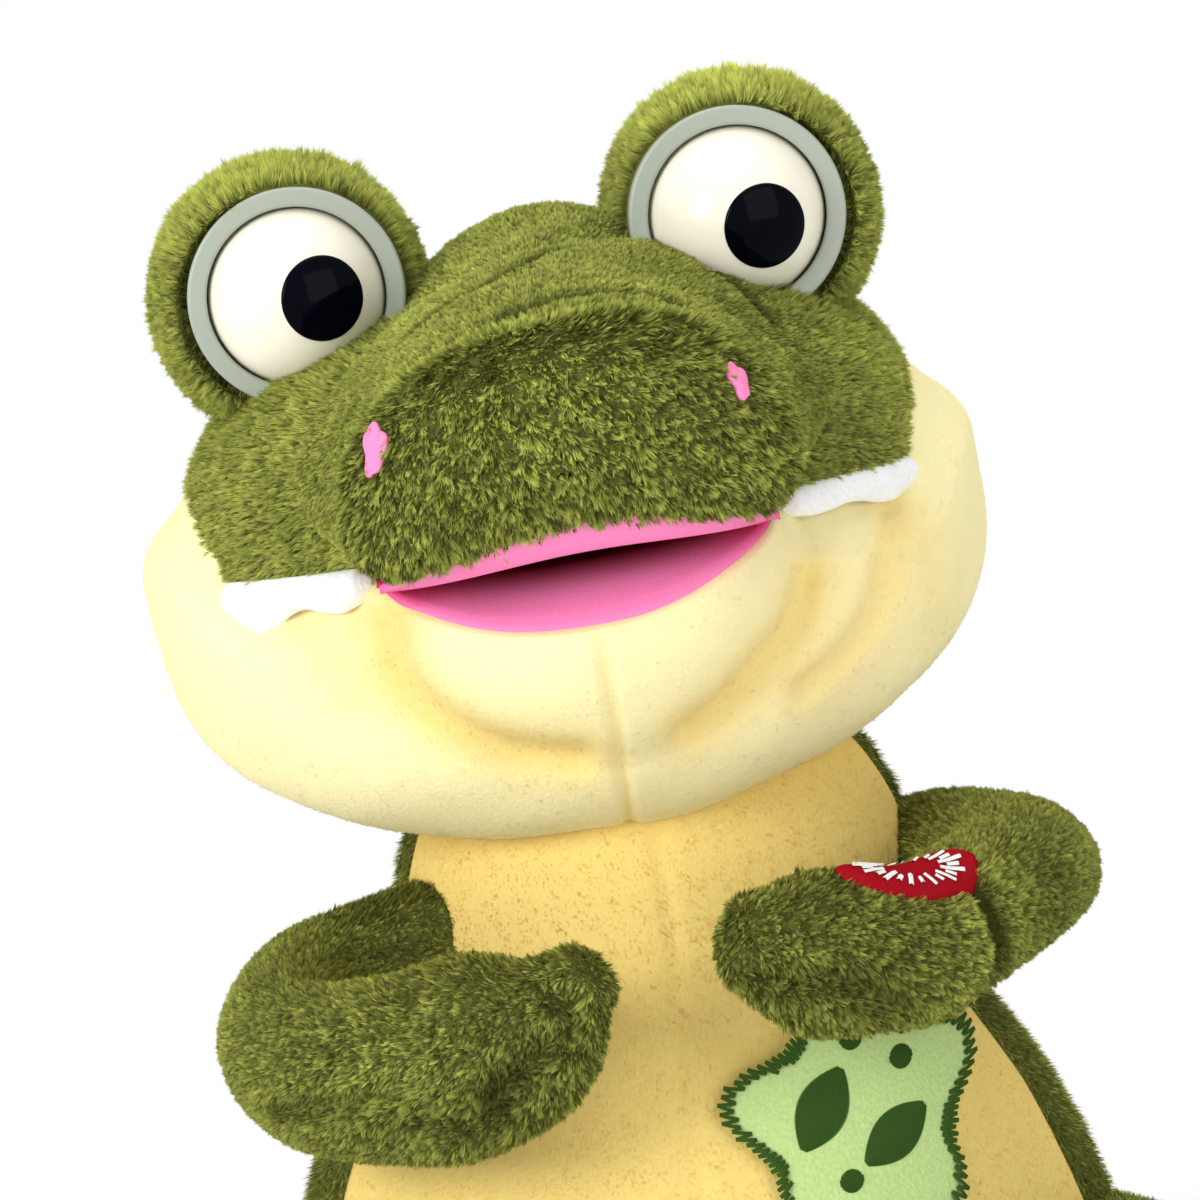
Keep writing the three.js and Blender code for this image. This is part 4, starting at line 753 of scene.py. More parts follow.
def body_points(angle, z, inset):
    """Body surface: an oval at each height, angle 0 in front and growing to +X, pulled in by inset."""
    width, depth, middle = body_section(z)
    x = body_lean(z) + (width - inset) * np.sin(angle)
    y = middle - (depth - inset) * np.cos(angle)
    return np.stack([x, y, np.broadcast_to(z, x.shape)], -1)


def seam_angle(z):
    """Angle at which the body's oval meets the seam between belly and back."""
    _, depth, middle = body_section(z)
    seam_y = np.interp(z, *np.transpose(BELLY_SEAM))
    return np.arccos(np.clip((middle - seam_y) / depth, -1, 1))


def belly_front(x, z):
    """y of the body's front at places x, z."""
    width, depth, middle = body_section(z)
    return middle - depth * np.sqrt(np.maximum(1 - ((x - body_lean(z)) / width) ** 2, 0.01))


def plan_radius(angle, width, front, back, power):
    """Distance from the middle to a swollen oval seen from above, in a direction angle from the front."""
    depth = np.where(np.cos(angle) > 0, front, back)
    across = np.abs(np.sin(angle)) / width
    along = np.abs(np.cos(angle)) / depth
    return (across ** power + along ** power) ** (-1 / power)


def crown_level(z):
    """Share of the crown's full width at height z."""
    reach = np.where(z > HEAD_Z, CROWN["up"], CROWN["down"])
    return dome(np.abs(z - HEAD_Z) / reach, CROWN["power"])


def crown_plan(angle, width):
    """Distance from the middle to the crown's oval of the given half width, seen from above."""
    return plan_radius(angle, width, CROWN["front"], CROWN["back"], CROWN["power"])


def crown_radius(angle, z):
    """Distance from the head's middle line to the crown at height z; behind the face it is wider."""
    near = crown_plan(angle, CROWN["width"])
    far = crown_plan(angle, CROWN["back_width"])
    behind = smooth_step(-near * np.cos(angle), 12, 24) * smooth_step(-z, -222, -206)
    return (near + (far - near) * behind) * crown_level(z)


def crown_surface(angle, z):
    """Green head: a swollen oval, drawn in below the tooth line in front, where mouth and face lie."""
    radius = crown_radius(angle, z)
    under = smooth_step(-z, -TOOTH_LINE - 0.5, -TOOTH_LINE + 5)
    hidden = under * smooth_step(radius * np.cos(angle), -20, -8)
    radius = radius * (1 - hidden * (0.14 + 0.4 * np.maximum(np.cos(angle), 0)))
    return np.stack([radius * np.sin(angle), -radius * np.cos(angle), z], -1)


def face_swell(angle, z):
    """Distance from the middle line to the yellow face, before the chin and the edges."""
    drop = np.maximum(HEAD_Z - z, 0)
    across = dome(drop / FACE["side_down"], 2.6)
    across = across - 0.14 * (np.maximum(z - 206, 0) / 17.4) ** 2
    ahead = dome(drop / FACE["front_down"], 4)
    front = FACE["front"] * ahead
    back = FACE["back"] * ahead
    return plan_radius(angle, size("cheek_width") * across, front, back, FACE["power"])


def lip_height(x):
    """Height of the lower lip's edge: low in the middle, up to the mouth corners."""
    share = np.minimum(np.abs(x) / MOUTH["half_width"], 1)
    return MOUTH["low"] + MOUTH["rise"] * share ** MOUTH["power"]


def lip_front(x, z):
    """y of the chin's ball at places x, z."""
    room = 1 - (x / CHIN["width"]) ** 2 - ((z - CHIN["z"]) / CHIN["height"]) ** 2
    return CHIN["y"] - CHIN["depth"] * np.sqrt(np.maximum(room, 0))


def face_rim(angle):
    """Height of the yellow face's upper edge: lip, tooth line, then up over the side of the crown."""
    x = face_swell(angle, np.full_like(angle, 198.0)) * np.sin(angle)
    degrees, heights = np.transpose(FACE_RIM)
    beside = np.interp(np.degrees(np.abs(angle)), degrees, heights)
    return np.where(np.abs(x) < MOUTH["half_width"], lip_height(x), beside)


def face_surface(angle, z, rim):
    """Yellow face: a swollen oval at each height, with the chin's ball in front.

    It is drawn onto the crown along its upper edge and at its rear ends.
    """
    radius = face_swell(angle, z)
    side = np.degrees(np.abs(angle))
    edge = smooth_step(z - rim, -13, 0) * smooth_step(side, 28, 36)
    seat = crown_radius(angle, z) + np.interp(side, [54, 64], [-2.5, 1.0])
    radius = radius + (seat - radius) * edge
    rear = crown_plan(angle, CROWN["back_width"]) * crown_level(z)
    behind = smooth_step(side, FACE["end_deg"] - FACE["taper_deg"], FACE["end_deg"])
    radius = radius + (rear - radius) * behind * (1 - edge)
    x = radius * np.sin(angle)
    y = -radius * np.cos(angle)
    chin = np.where(np.hypot(x / CHIN["width"], (z - CHIN["z"]) / CHIN["height"]) < 1, lip_front(x, z), 40)
    over = np.clip((y - chin) / 3, -30, 30)
    y = y - 3 * np.log1p(np.exp(over)) * (y < 0)
    return np.stack([x, y, z], -1)


def snout_section(y):
    """Half width, top, widest height, floor and roundness of the snout at y; the nose is rounded off."""
    table = smooth_rows(SNOUT_ROWS, np.linspace(0, 1, 201))
    table = table[np.argsort(table[:, 0])]
    width, top, middle, floor, power = (np.interp(y, table[:, 0], table[:, k]) for k in range(1, 6))
    past = np.clip((NOSE_Y - y) / NOSE_DEPTH, 0, 1)
    round_off = (1 - past ** NOSE_POWER) ** (1 / NOSE_POWER)
    top = middle + (top - middle) * round_off
    floor = middle + (floor - middle) * round_off
    return width * round_off, top, middle, floor, power


def snout_sway(y):
    """How far the snout's middle is moved to +X at y."""
    return SNOUT_SWAY["shift"] * ridge(y - SNOUT_SWAY["y"], SNOUT_SWAY["length"])


def in_snout(points, margin):
    """Whether points lie more than margin inside the snout."""
    width, top, middle, floor, power = snout_section(points[:, 1])
    rise = np.clip((points[:, 2] - middle) / (top - middle), 0, 1)
    upper = width * (1 - rise ** power) ** (1 / power)
    room = np.where(points[:, 2] < middle, np.minimum(width, SNOUT_FLOOR_HALF), upper) - margin
    near = np.abs(points[:, 0] - snout_sway(points[:, 1])) < room
    return near & (points[:, 2] > floor) & (points[:, 1] < SNOUT_ROWS[0][0])


def in_crown(points, margin):
    """Whether points lie more than margin inside the crown."""
    angle = np.arctan2(points[:, 0], -points[:, 1])
    near = np.hypot(points[:, 0], points[:, 1]) < crown_radius(angle, points[:, 2]) - margin
    return near & (points[:, 2] > TOOTH_LINE + 6)


def snout_surface(angle, y):
    """Snout: an oval section carried along y, squarer below, its floor arched over the mouth."""
    width, top, middle, floor, power = snout_section(y)
    across = np.cos(angle)
    lift = np.sin(angle)
    bend = np.where(lift > 0, 2 / power, 2 / 3.2)
    tuck = (np.minimum(width, SNOUT_FLOOR_HALF) - width) * smooth_step(-lift, 0, 0.75)
    x = snout_sway(y) + (width + tuck) * signed_power(across, bend)
    rise = np.where(lift > 0, top - middle, middle - floor)
    z = middle + rise * signed_power(lift, bend)
    arch = 5.5 * smooth_step(-y, 40, 86) * np.clip(1 - (x / 34) ** 2, 0, 1)
    z = z + arch * smooth_step(-lift, 0.2, 0.9)
    return np.stack([x, np.broadcast_to(y, x.shape), z], -1)


def limb_surface(rows, around=84, along=110, tip=8):
    """Stuffed limb: an oval section along a smooth path, closed by half balls.

    Also returns its middle line and the ways outward from it.
    """
    t = 0.5 - 0.5 * np.cos(np.linspace(0, math.pi, along))
    path = smooth_rows(rows, t)
    step = unit(np.gradient(path[:, :3], axis=0))
    bow = np.linspace(0, math.pi / 2, tip + 2)[1:-1]
    reach = path[[0, -1], 3:].mean(1) * 0.6
    before = path[0, :3] - step[0] * (reach[0] * np.sin(bow[::-1]))[:, None]
    after = path[-1, :3] + step[-1] * (reach[1] * np.sin(bow))[:, None]
    middle = np.vstack([before, path[:, :3], after])
    step = np.vstack([np.tile(step[0], (tip, 1)), step, np.tile(step[-1], (tip, 1))])
    first = path[0, 3:] * np.cos(bow[::-1])[:, None]
    last = path[-1, 3:] * np.cos(bow)[:, None]
    half = np.vstack([first, path[:, 3:], last])
    side = unit(np.cross([0, 0, 1], step))
    rise = np.cross(step, side)
    turn = full_turn(around)[None, :, None]
    spread = np.cos(turn) * side[:, None] * half[:, None, :1]
    spread = spread + np.sin(turn) * rise[:, None] * half[:, None, 1:]
    return middle[:, None] + spread, middle, unit(spread)


def stuffed_limb(name):
    """Limb with lumps of stuffing and its tucks, kept above the floor; also its middle line."""
    rows, tucks, _ = LIMBS[name]
    _, seed = PILES[f"{name}_pile"]
    points, middle, outward = limb_surface(rows)
    lumps = 0.9 * soft_noise(points, 34, seed)
    if tucks:
        lumps = lumps - drawn_in(points, tucks)
    points = points + outward * lumps[..., None]
    points[..., 2] = np.maximum(points[..., 2], 0.6)
    return points, middle


def press_place():
    """Middle of the press patch on the left arm, and the ways along the arm, round it and out of it."""
    surface, middle = stuffed_limb("arm_left")
    low, high = solid_box("press_patch")
    gap = np.linalg.norm(surface - ((low + high) / 2 + PRESS["shift"]), axis=-1)
    row, column = np.unravel_index(np.argmin(gap), gap.shape)
    centre = surface[row, column]
    along = unit(surface[row + 4, column] - surface[row - 4, column])
    across = surface[row, column + 4] - surface[row, column - 4]
    across = unit(across - along * (across @ along))
    up = np.cross(along, across)
    if up @ (centre - middle[row]) < 0:
        up = -up
    return centre, along, across, up


def finish_piece(piece, body, nodes=()):
    """Hangs a new piece on the body that carries it, and hides the solids that it stands for."""
    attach(piece, body)
    if nodes:
        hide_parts(*nodes)
    return piece


class CROCODILE_OT_materials(bpy.types.Operator):
    """Make the cloth and plastic materials"""

    bl_idname = "crocodile.materials"
    bl_label = "Materials"

    def execute(self, context):
        palette()
        return {"FINISHED"}


class CROCODILE_OT_body(bpy.types.Operator):
    """Sew the green back and the yellow belly of the body"""

    bl_idname = "crocodile.body"
    bl_label = "Body"

    def execute(self, context):
        belly = self.sheet(True)
        cloth = put_mesh("belly_cloth", *belly, MATERIALS["belly_plush_backing"])
        finish_piece(cloth, "body", ["belly_plush"])
        fur = grow_pile("belly_pile", belly, MATERIALS["belly_plush_pile"], self.nap, self.shown,
                        size("yellow_pile") * 1.25, FINE_STRAND, 1.15, rough=0.06)
        finish_piece(fur, "body")

        back = self.sheet(False)
        cloth = put_mesh("body_back_cloth", *back, MATERIALS["green_plush_backing"])
        finish_piece(cloth, "body", ["body_back_plush"])
        fur = grow_pile("body_back_pile", back, MATERIALS["green_plush_pile"], self.nap, self.shown,
                        size("green_pile"), size("strand") * 1.2)
        finish_piece(fur, "body")
        return {"FINISHED"}

    def sheet(self, belly):
        """Closed sheet of the belly or of the back, from one side seam to the other."""
        z = np.concatenate([np.linspace(2, 120, 64), np.linspace(121.5, 174, 30)])[:, None]
        s = np.linspace(-1, 1, 121)[None, :]
        pinch = size("seam_depth")
        reach = seam_angle(z)
        angle = reach * s if belly else math.pi + (math.pi - reach) * s
        width = body_section(z)[0]
        from_edge = (1 - np.abs(s)) * width * (reach if belly else math.pi - reach)
        inset = pinch * 1.4 * ridge(from_edge, 3.5)
        inset = inset + 5 * (1 - smooth_step(z, 0, 7)) ** 2
        if belly:
            inset = inset + pinch * 0.35 * ridge(s * reach * width, 1.6)
        else:
            fill = SHOULDER_FILL * smooth_step(z, 90, 130)
            inset = inset - fill * smooth_step(1 - np.abs(s), 0.22, 0.5)
        outer = body_points(angle, np.broadcast_to(z, angle.shape), inset)
        ripple = soft_noise(outer, 45, 31) * 0.8
        outer = outer + level_out(outer) * ripple[..., None]
        inner = outer - level_out(outer) * BODY_SHEET
        return closed_strip(outer, inner)

    def shown(self, points):
        """Only the outer sheet, below the head; thinner low down."""
        x, y, z = points.T
        width, depth, middle = body_section(z)
        out = np.hypot((x - body_lean(z)) / width, (y - middle) / depth) > 0.93
        return out * (z > 4) * (z < 158) * (0.35 + 0.65 * smooth_step(z, 40, 80))

    def nap(self, points, up):
        return np.tile([0.0, -0.2, -1.0], (len(points), 1))


class CROCODILE_OT_head(bpy.types.Operator):
    """Sew the green crown and the snout"""

    bl_idname = "crocodile.head"
    bl_label = "Head"

    def execute(self, context):
        self.crown()
        self.snout()
        return {"FINISHED"}

    def crown(self):
        tilt = np.sin(np.linspace(-1.55, 1.55, 112))[:, None]
        z = HEAD_Z + np.where(tilt > 0, CROWN["up"], CROWN["down"]) * tilt
        angle = np.linspace(-math.pi, math.pi, 192, endpoint=False)[None, :]
        points = crown_surface(*np.broadcast_arrays(angle, z))
        points = points + unit(points - [0, 0, HEAD_Z]) * (0.8 * soft_noise(points, 40, 51))[..., None]
        surface = closed_tube(points)
        cloth = put_mesh("crown_cloth", *surface, MATERIALS["green_plush_backing"])
        finish_piece(cloth, "head", ["head_crown_plush"])

        def shown(p):
            """Not under the yellow face, the snout or the neck; denser in front."""
            angle = np.arctan2(p[:, 0], -p[:, 1])
            rim = np.interp(np.degrees(np.abs(angle)), *np.transpose(FACE_RIM))
            low = (p[:, 2] < rim - 1) & (np.abs(angle) < math.radians(FACE["end_deg"] - 2))
            neck = (np.hypot(p[:, 0], p[:, 1]) < 48) & (p[:, 2] < 175)
            return (0.35 + 0.65 * smooth_step(-p[:, 1], -15, 10)) * ~(low | neck | in_snout(p, 2))

        def nap(p, up):
            return np.stack([p[:, 0] * 0.018, np.full(len(p), 0.5), np.full(len(p), -0.5)], -1)

        # The crown's pile is painted a little paler than the snout's, as painted light, and grows a little
        # longer
        fur = grow_pile("crown_pile", surface, MATERIALS["green_plush_pile"], nap, shown,
                        size("green_pile"), size("strand"), fringe=0.25)
        finish_piece(fur, "head")

    def snout(self):
        nose = NOSE_Y + 4 - (NOSE_DEPTH + 3.9) * np.sin(np.linspace(0.02, math.pi / 2, 50))
        y = np.concatenate([np.linspace(16, NOSE_Y + 5, 84), nose])[:, None]
        turn = full_turn(184)[None, :]
        points = snout_surface(*np.broadcast_arrays(turn, y))
        grooves = 1.0 * ridge(self.seam_offset(points), 1.5) + 2.4 * self.tuck_lines(points, 1.1)
        grooves = grooves + 2.0 * ridge(distance_to(points[..., :2], CROWN_FOLD), 4.0)
        core = points * [0, 1, 0] + [0, 0, 225.0]
        points = points - unit(points - core) * (grooves * smooth_step(points[..., 2], 206, 214))[..., None]
        surface = closed_tube(points)
        # The cloth on the tuck lines gets a painted shade
        cloth = put_mesh("snout_cloth", *surface, MATERIALS["green_plush_backing"],
                         {"crease": self.tuck_lines(surface[0], 0.9)})
        finish_piece(cloth, "head", ["snout_plush"])

        def shown(p):
            """Not on the nostrils, the floor or inside the crown; densest on the nose."""
            nostril = np.hypot((np.abs(p[:, 0]) - NOSTRIL["x"]) / NOSTRIL["half_wide"],
                               (p[:, 2] - NOSTRIL["z"]) / NOSTRIL["half_tall"])
            on_nostril = (nostril < 0.75) & (p[:, 1] < -74)
            floor = (p[:, 2] < 211) & (p[:, 1] > -86) & (np.abs(p[:, 0]) < 33)
            dense = 0.6 + 0.4 * smooth_step(-p[:, 1], 50, 70) - 0.58 * self.tuck_lines(p, 0.8)
            return dense * ~(on_nostril | floor | in_crown(p, 1))

        def nap(p, up):
            """Back and outwards along the snout; on the nose down and a little to one side."""
            down = self.on_nose(p)
            flank = smooth_step(np.abs(p[:, 0]), 18, 42)
            back = (0.9 - 0.6 * flank) * (1 - down)
            return np.stack([p[:, 0] * 0.018 + 0.35 * down, back, -0.25 - 0.5 * flank - down], -1)

        def droop(p):
            """The pile stands up along the seam round the nose."""
            return 0.8 - 0.4 * ridge(self.seam_offset(p), 2.6)

        # Painted highlight along the seam round the nose, where the pile is also longer
        def fringe(p):
            return 0.5 * ridge(self.seam_offset(p) + 1, 2.6) * smooth_step(p[:, 2], 222, 232)

        def rough(p):
            return 0.26 + 0.42 * self.on_nose(p)

        # Painted shade on the pile in the tuck lines
        def crease(p):
            return self.tuck_lines(p, 1.2)

        def length(p):
            """Shorter on top of the snout than on the nose."""
            return size("green_pile") * (0.7 + 0.3 * self.on_nose(p))

        fur = grow_pile("snout_pile", surface, MATERIALS["green_plush_pile"], nap, shown,
                        length, size("strand"), droop, crease, rough, fringe)
        finish_piece(fur, "head")

    def tuck_lines(self, points, width):
        """1 on the tuck lines across the top of the snout, falling off to the sides of each."""
        near = [ridge(distance_to(points[..., :2], line), width) for line in SNOUT_TUCKS]
        return np.max(near, axis=0) * smooth_step(points[..., 2], 226, 236)

    def on_nose(self, points):
        """0 on the snout, 1 on the nose in front of the seam."""
        return smooth_step(-self.seam_offset(points), 0, 5)

    def seam_offset(self, points):
        """Distance along y behind the seam that joins the nose to the snout."""
        seam = NOSE_SEAM["y"] + NOSE_SEAM["back"] * smooth_step(points[..., 0], 0, NOSE_SEAM["x"])
        return points[..., 1] - seam


class CROCODILE_OT_face(bpy.types.Operator):
    """Sew the yellow lower face, one cloth over cheeks and chin"""

    bl_idname = "crocodile.face"
    bl_label = "Face"

    def execute(self, context):
        limit = math.radians(FACE["end_deg"])
        angle = np.linspace(-limit, limit, 231)[None, :]
        rim = face_rim(angle)
        v = np.linspace(0, 1, 84)[:, None]
        z = FACE["low"] + (rim - FACE["low"]) * v
        outer = face_surface(np.broadcast_to(angle, z.shape), z, rim)
        outward = unit(outer - np.array([0, -8.0, 190.0]))
        outer = outer + outward * (0.9 * soft_noise(outer, 38, 41) - self.folds(outer))[..., None]
        lip = np.clip((v - 0.965) / 0.035, 0, 1) ** 2
        outer = outer - level_out(outer) * (2.0 * lip)[..., None]
        inner = outer - level_out(outer) * FACE_SHEET
        surface = closed_strip(outer, inner)

        # Warm painted shade in the folds, on the cloth and on its pile
        def crease(p):
            return np.clip(self.folds(p, 1.9) / 3.2, 0, 1) * 0.72

        cloth = put_mesh("face_cloth", *surface, MATERIALS["yellow_plush_backing"],
                         {"crease": crease(surface[0])})

        def shown(p):
            return 1.0 * ~((np.hypot(p[:, 0], p[:, 1]) < 44) & (p[:, 2] < 162))

        def nap(p, up):
            return np.stack([p[:, 0] * 0.012, 0 * p[:, 0], np.full(len(p), -1.0)], -1)

        fur = grow_pile("face_pile", surface, MATERIALS["yellow_plush_pile"], nap, shown,
                        size("yellow_pile"), FINE_STRAND, 1.1, crease, 0.12)
        for piece in (cloth, fur):
            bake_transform(piece)
        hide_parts("cheek_plush", "chin_plush")
        return {"FINISHED"}

    def folds(self, points, spread=1.0):
        """How far the cloth is drawn in by its folds and by the middle seam."""
        front = smooth_step(-points[..., 1], 15, 30)
        seam = 1.1 * ridge(points[..., 0] - 0.6, 1.2) * smooth_step(-points[..., 2], -192, -186)
        folds = [(line, width * spread, depth) for line, width, depth in FACE_FOLDS]
        return front * (drawn_in(points[..., [0, 2]], folds) + seam)


class CROCODILE_OT_mouth(bpy.types.Operator):
    """Line the mouth, and set the teeth and the nostrils"""

    bl_idname = "crocodile.mouth"
    bl_label = "Mouth"

    def execute(self, context):
        self.lower_lining()
        self.upper_lining()
        for name, side in (("left", 1), ("right", -1)):
            self.tooth_roll(name, side)
            self.nostril(name)
        return {"FINISHED"}

    def lower_lining(self):
        """Fleece from just inside the lip: a pad that rises behind the lip, then runs level to the back of
        the mouth.
        """
        s = np.linspace(-1, 1, 81)[None, :]
        t = np.linspace(0, 1, 48)[:, None]
        half = LOWER_LINING["half_width"]
        x = half * s * (1 - 0.1 * t)
        lip_z = lip_height(half * s)
        y = (lip_front(half * s, lip_z) + 1.4) * (1 - t) - LOWER_LINING["back"] * t
        swell = LOWER_LINING["pad"] * (1 - s ** 2) ** 0.7
        pad = swell * np.sin(math.pi / 2 * np.clip(t / 0.5, 0, 1))
        z = lip_z + 0.4 + 0.8 * np.minimum(t * 20, 1) + pad
        top = np.stack(np.broadcast_arrays(x, y, z), -1)
        points, faces = closed_strip(top, top - [0, 0, LOWER_LINING["thick"]])
        marks = self.throat_shade(points, LOWER_LINING["throat_shade"])
        piece = put_mesh("lower_mouth_lining", points, faces, MATERIALS["pink_fleece"], marks)
        finish_piece(piece, "jaw", ["jaw_lining"])

    def upper_lining(self):
        """Roof under the nose, its front edge rolled down so that it shows as a strip."""
        s = np.linspace(-1, 1, 81)[None, :]
        t = np.linspace(0, 1, 50)[:, None]
        x = UPPER_LINING["half_width"] * s * (1 - 0.1 * t)
        edge = UPPER_LINING["front"] - 16 * np.abs(s) ** 3
        y = -edge * (1 - t) - UPPER_LINING["back"] * t
        roll = 5.4 * np.sin(math.pi * np.clip(t / 0.22, 0, 1))
        z = UPPER_LINING["top"] - 7.2 * np.abs(s) ** 2.2 - roll * (1 - np.abs(s) ** 3)
        roof = np.stack(np.broadcast_arrays(x, y, z), -1)
        points, faces = closed_strip(roof, roof + [0, 0, UPPER_LINING["thick"]])
        marks = self.throat_shade(points, UPPER_LINING["throat_shade"])
        piece = put_mesh("upper_mouth_roof", points, faces, MATERIALS["pink_fleece"], marks)
        finish_piece(piece, "head", ["upper_mouth_lining"])

    def throat_shade(self, points, start_y):
        """Painted shade marks that grow from 0 at start_y to 1 deeper in the mouth."""
        return {"crease": smooth_step(points[:, 1], start_y, start_y + THROAT_SHADE_LENGTH)}

    def tooth_roll(self, name, side):
        """A soft white roll from under the crown's edge, its lower edge hanging in uneven lobes."""
        t = np.linspace(0, 1, 110)
        x = TOOTH["start"] + TOOTH["long"] * t
        outer_lobe = 4.8 * ridge(x - 59.5, 5.0)
        inner_lobe = 2.2 * ridge(x - 45, 4.5)
        low = TOOTH["low"] - TOOTH_DROP[name] * (1 + outer_lobe + inner_lobe)
        tall = TOOTH["top"] - low
        ends = np.sqrt(np.clip(np.sin(math.pi * np.clip(t, 0.004, 0.996)) * 4, 0, 1))
        half = tall / 2 * ends
        power = CROWN["power"]
        crown_y = CROWN["front"] * (1 - (x / CROWN["width"]) ** power) ** (1 / power)
        depth = crown_radius(np.arctan2(x, crown_y), np.full_like(x, HEAD_Z))
        angle = np.arctan2(x, np.sqrt(np.maximum(depth ** 2 - x ** 2, 1)))
        away = np.stack([np.sin(angle), -np.cos(angle), 0 * x], -1)
        middle = away * (depth + 0.3)[:, None] + np.stack([0 * x, 0 * x, (TOOTH["top"] + low) / 2], -1)
        turn = full_turn(32)[None, :, None]
        thick = (TOOTH["thick"] * ends * (0.8 + 0.2 * tall / 9))[:, None, None]
        outwards = np.cos(turn) * thick * away[:, None]
        upwards = np.sin(turn) * half[:, None, None] * [0, 0, 1.0]
        rings = middle[:, None] + outwards + upwards
        twist = 0.3 * np.sin(x[:, None] * 1.1 + turn[..., 0])
        rings = (rings + away[:, None] * twist[..., None]) * [side, 1, 1]
        piece = put_mesh(f"tooth_roll_{name}", *closed_tube(rings), MATERIALS["white_velour"])
        finish_piece(piece, "head", [f"tooth_trim_{name}"])

    def nostril(self, name):
        """A small soft oval lying on the nose's corner, hollow in the middle."""
        side = 1 if name == "left" else -1
        y = np.linspace(NOSE_Y, NOSE_Y - NOSE_DEPTH + 0.1, 200)
        width, top, middle, _, power = snout_section(y)
        out = (NOSTRIL["x"] / width) ** power + ((NOSTRIL["z"] - middle) / (top - middle)) ** power
        centre = np.array([side * NOSTRIL["x"], y[np.argmin(np.abs(out - 1))], NOSTRIL["z"]])
        outward = unit(np.array([side * 0.55, -0.75, 0.36]))
        across = unit(np.cross([0, 0, 1], outward))
        rise = np.cross(outward, across)
        reach = np.sin(np.linspace(0.02, math.pi / 2, 16))[:, None]
        turn = full_turn(40)[None, :]
        share = NOSTRIL["left_share"] if name == "left" else 1.0
        ragged = 1 + 0.12 * np.sin(3 * turn + 1) + 0.1 * np.sin(5 * turn)
        u = share * NOSTRIL["half_wide"] * reach * ragged * np.cos(turn)
        v = share * NOSTRIL["half_tall"] * reach * ragged * np.sin(turn)
        lift = 0.9 - 0.4 * reach ** 2 + 0 * turn
        rings = centre + u[..., None] * across + v[..., None] * rise + lift[..., None] * outward
        rings = np.concatenate([rings, rings[-1:] - outward * 2])
        piece = put_mesh(f"nostril_patch_{name}", *closed_tube(rings), MATERIALS["pink_fleece"])
        finish_piece(piece, "head", [f"nostril_{name}"])


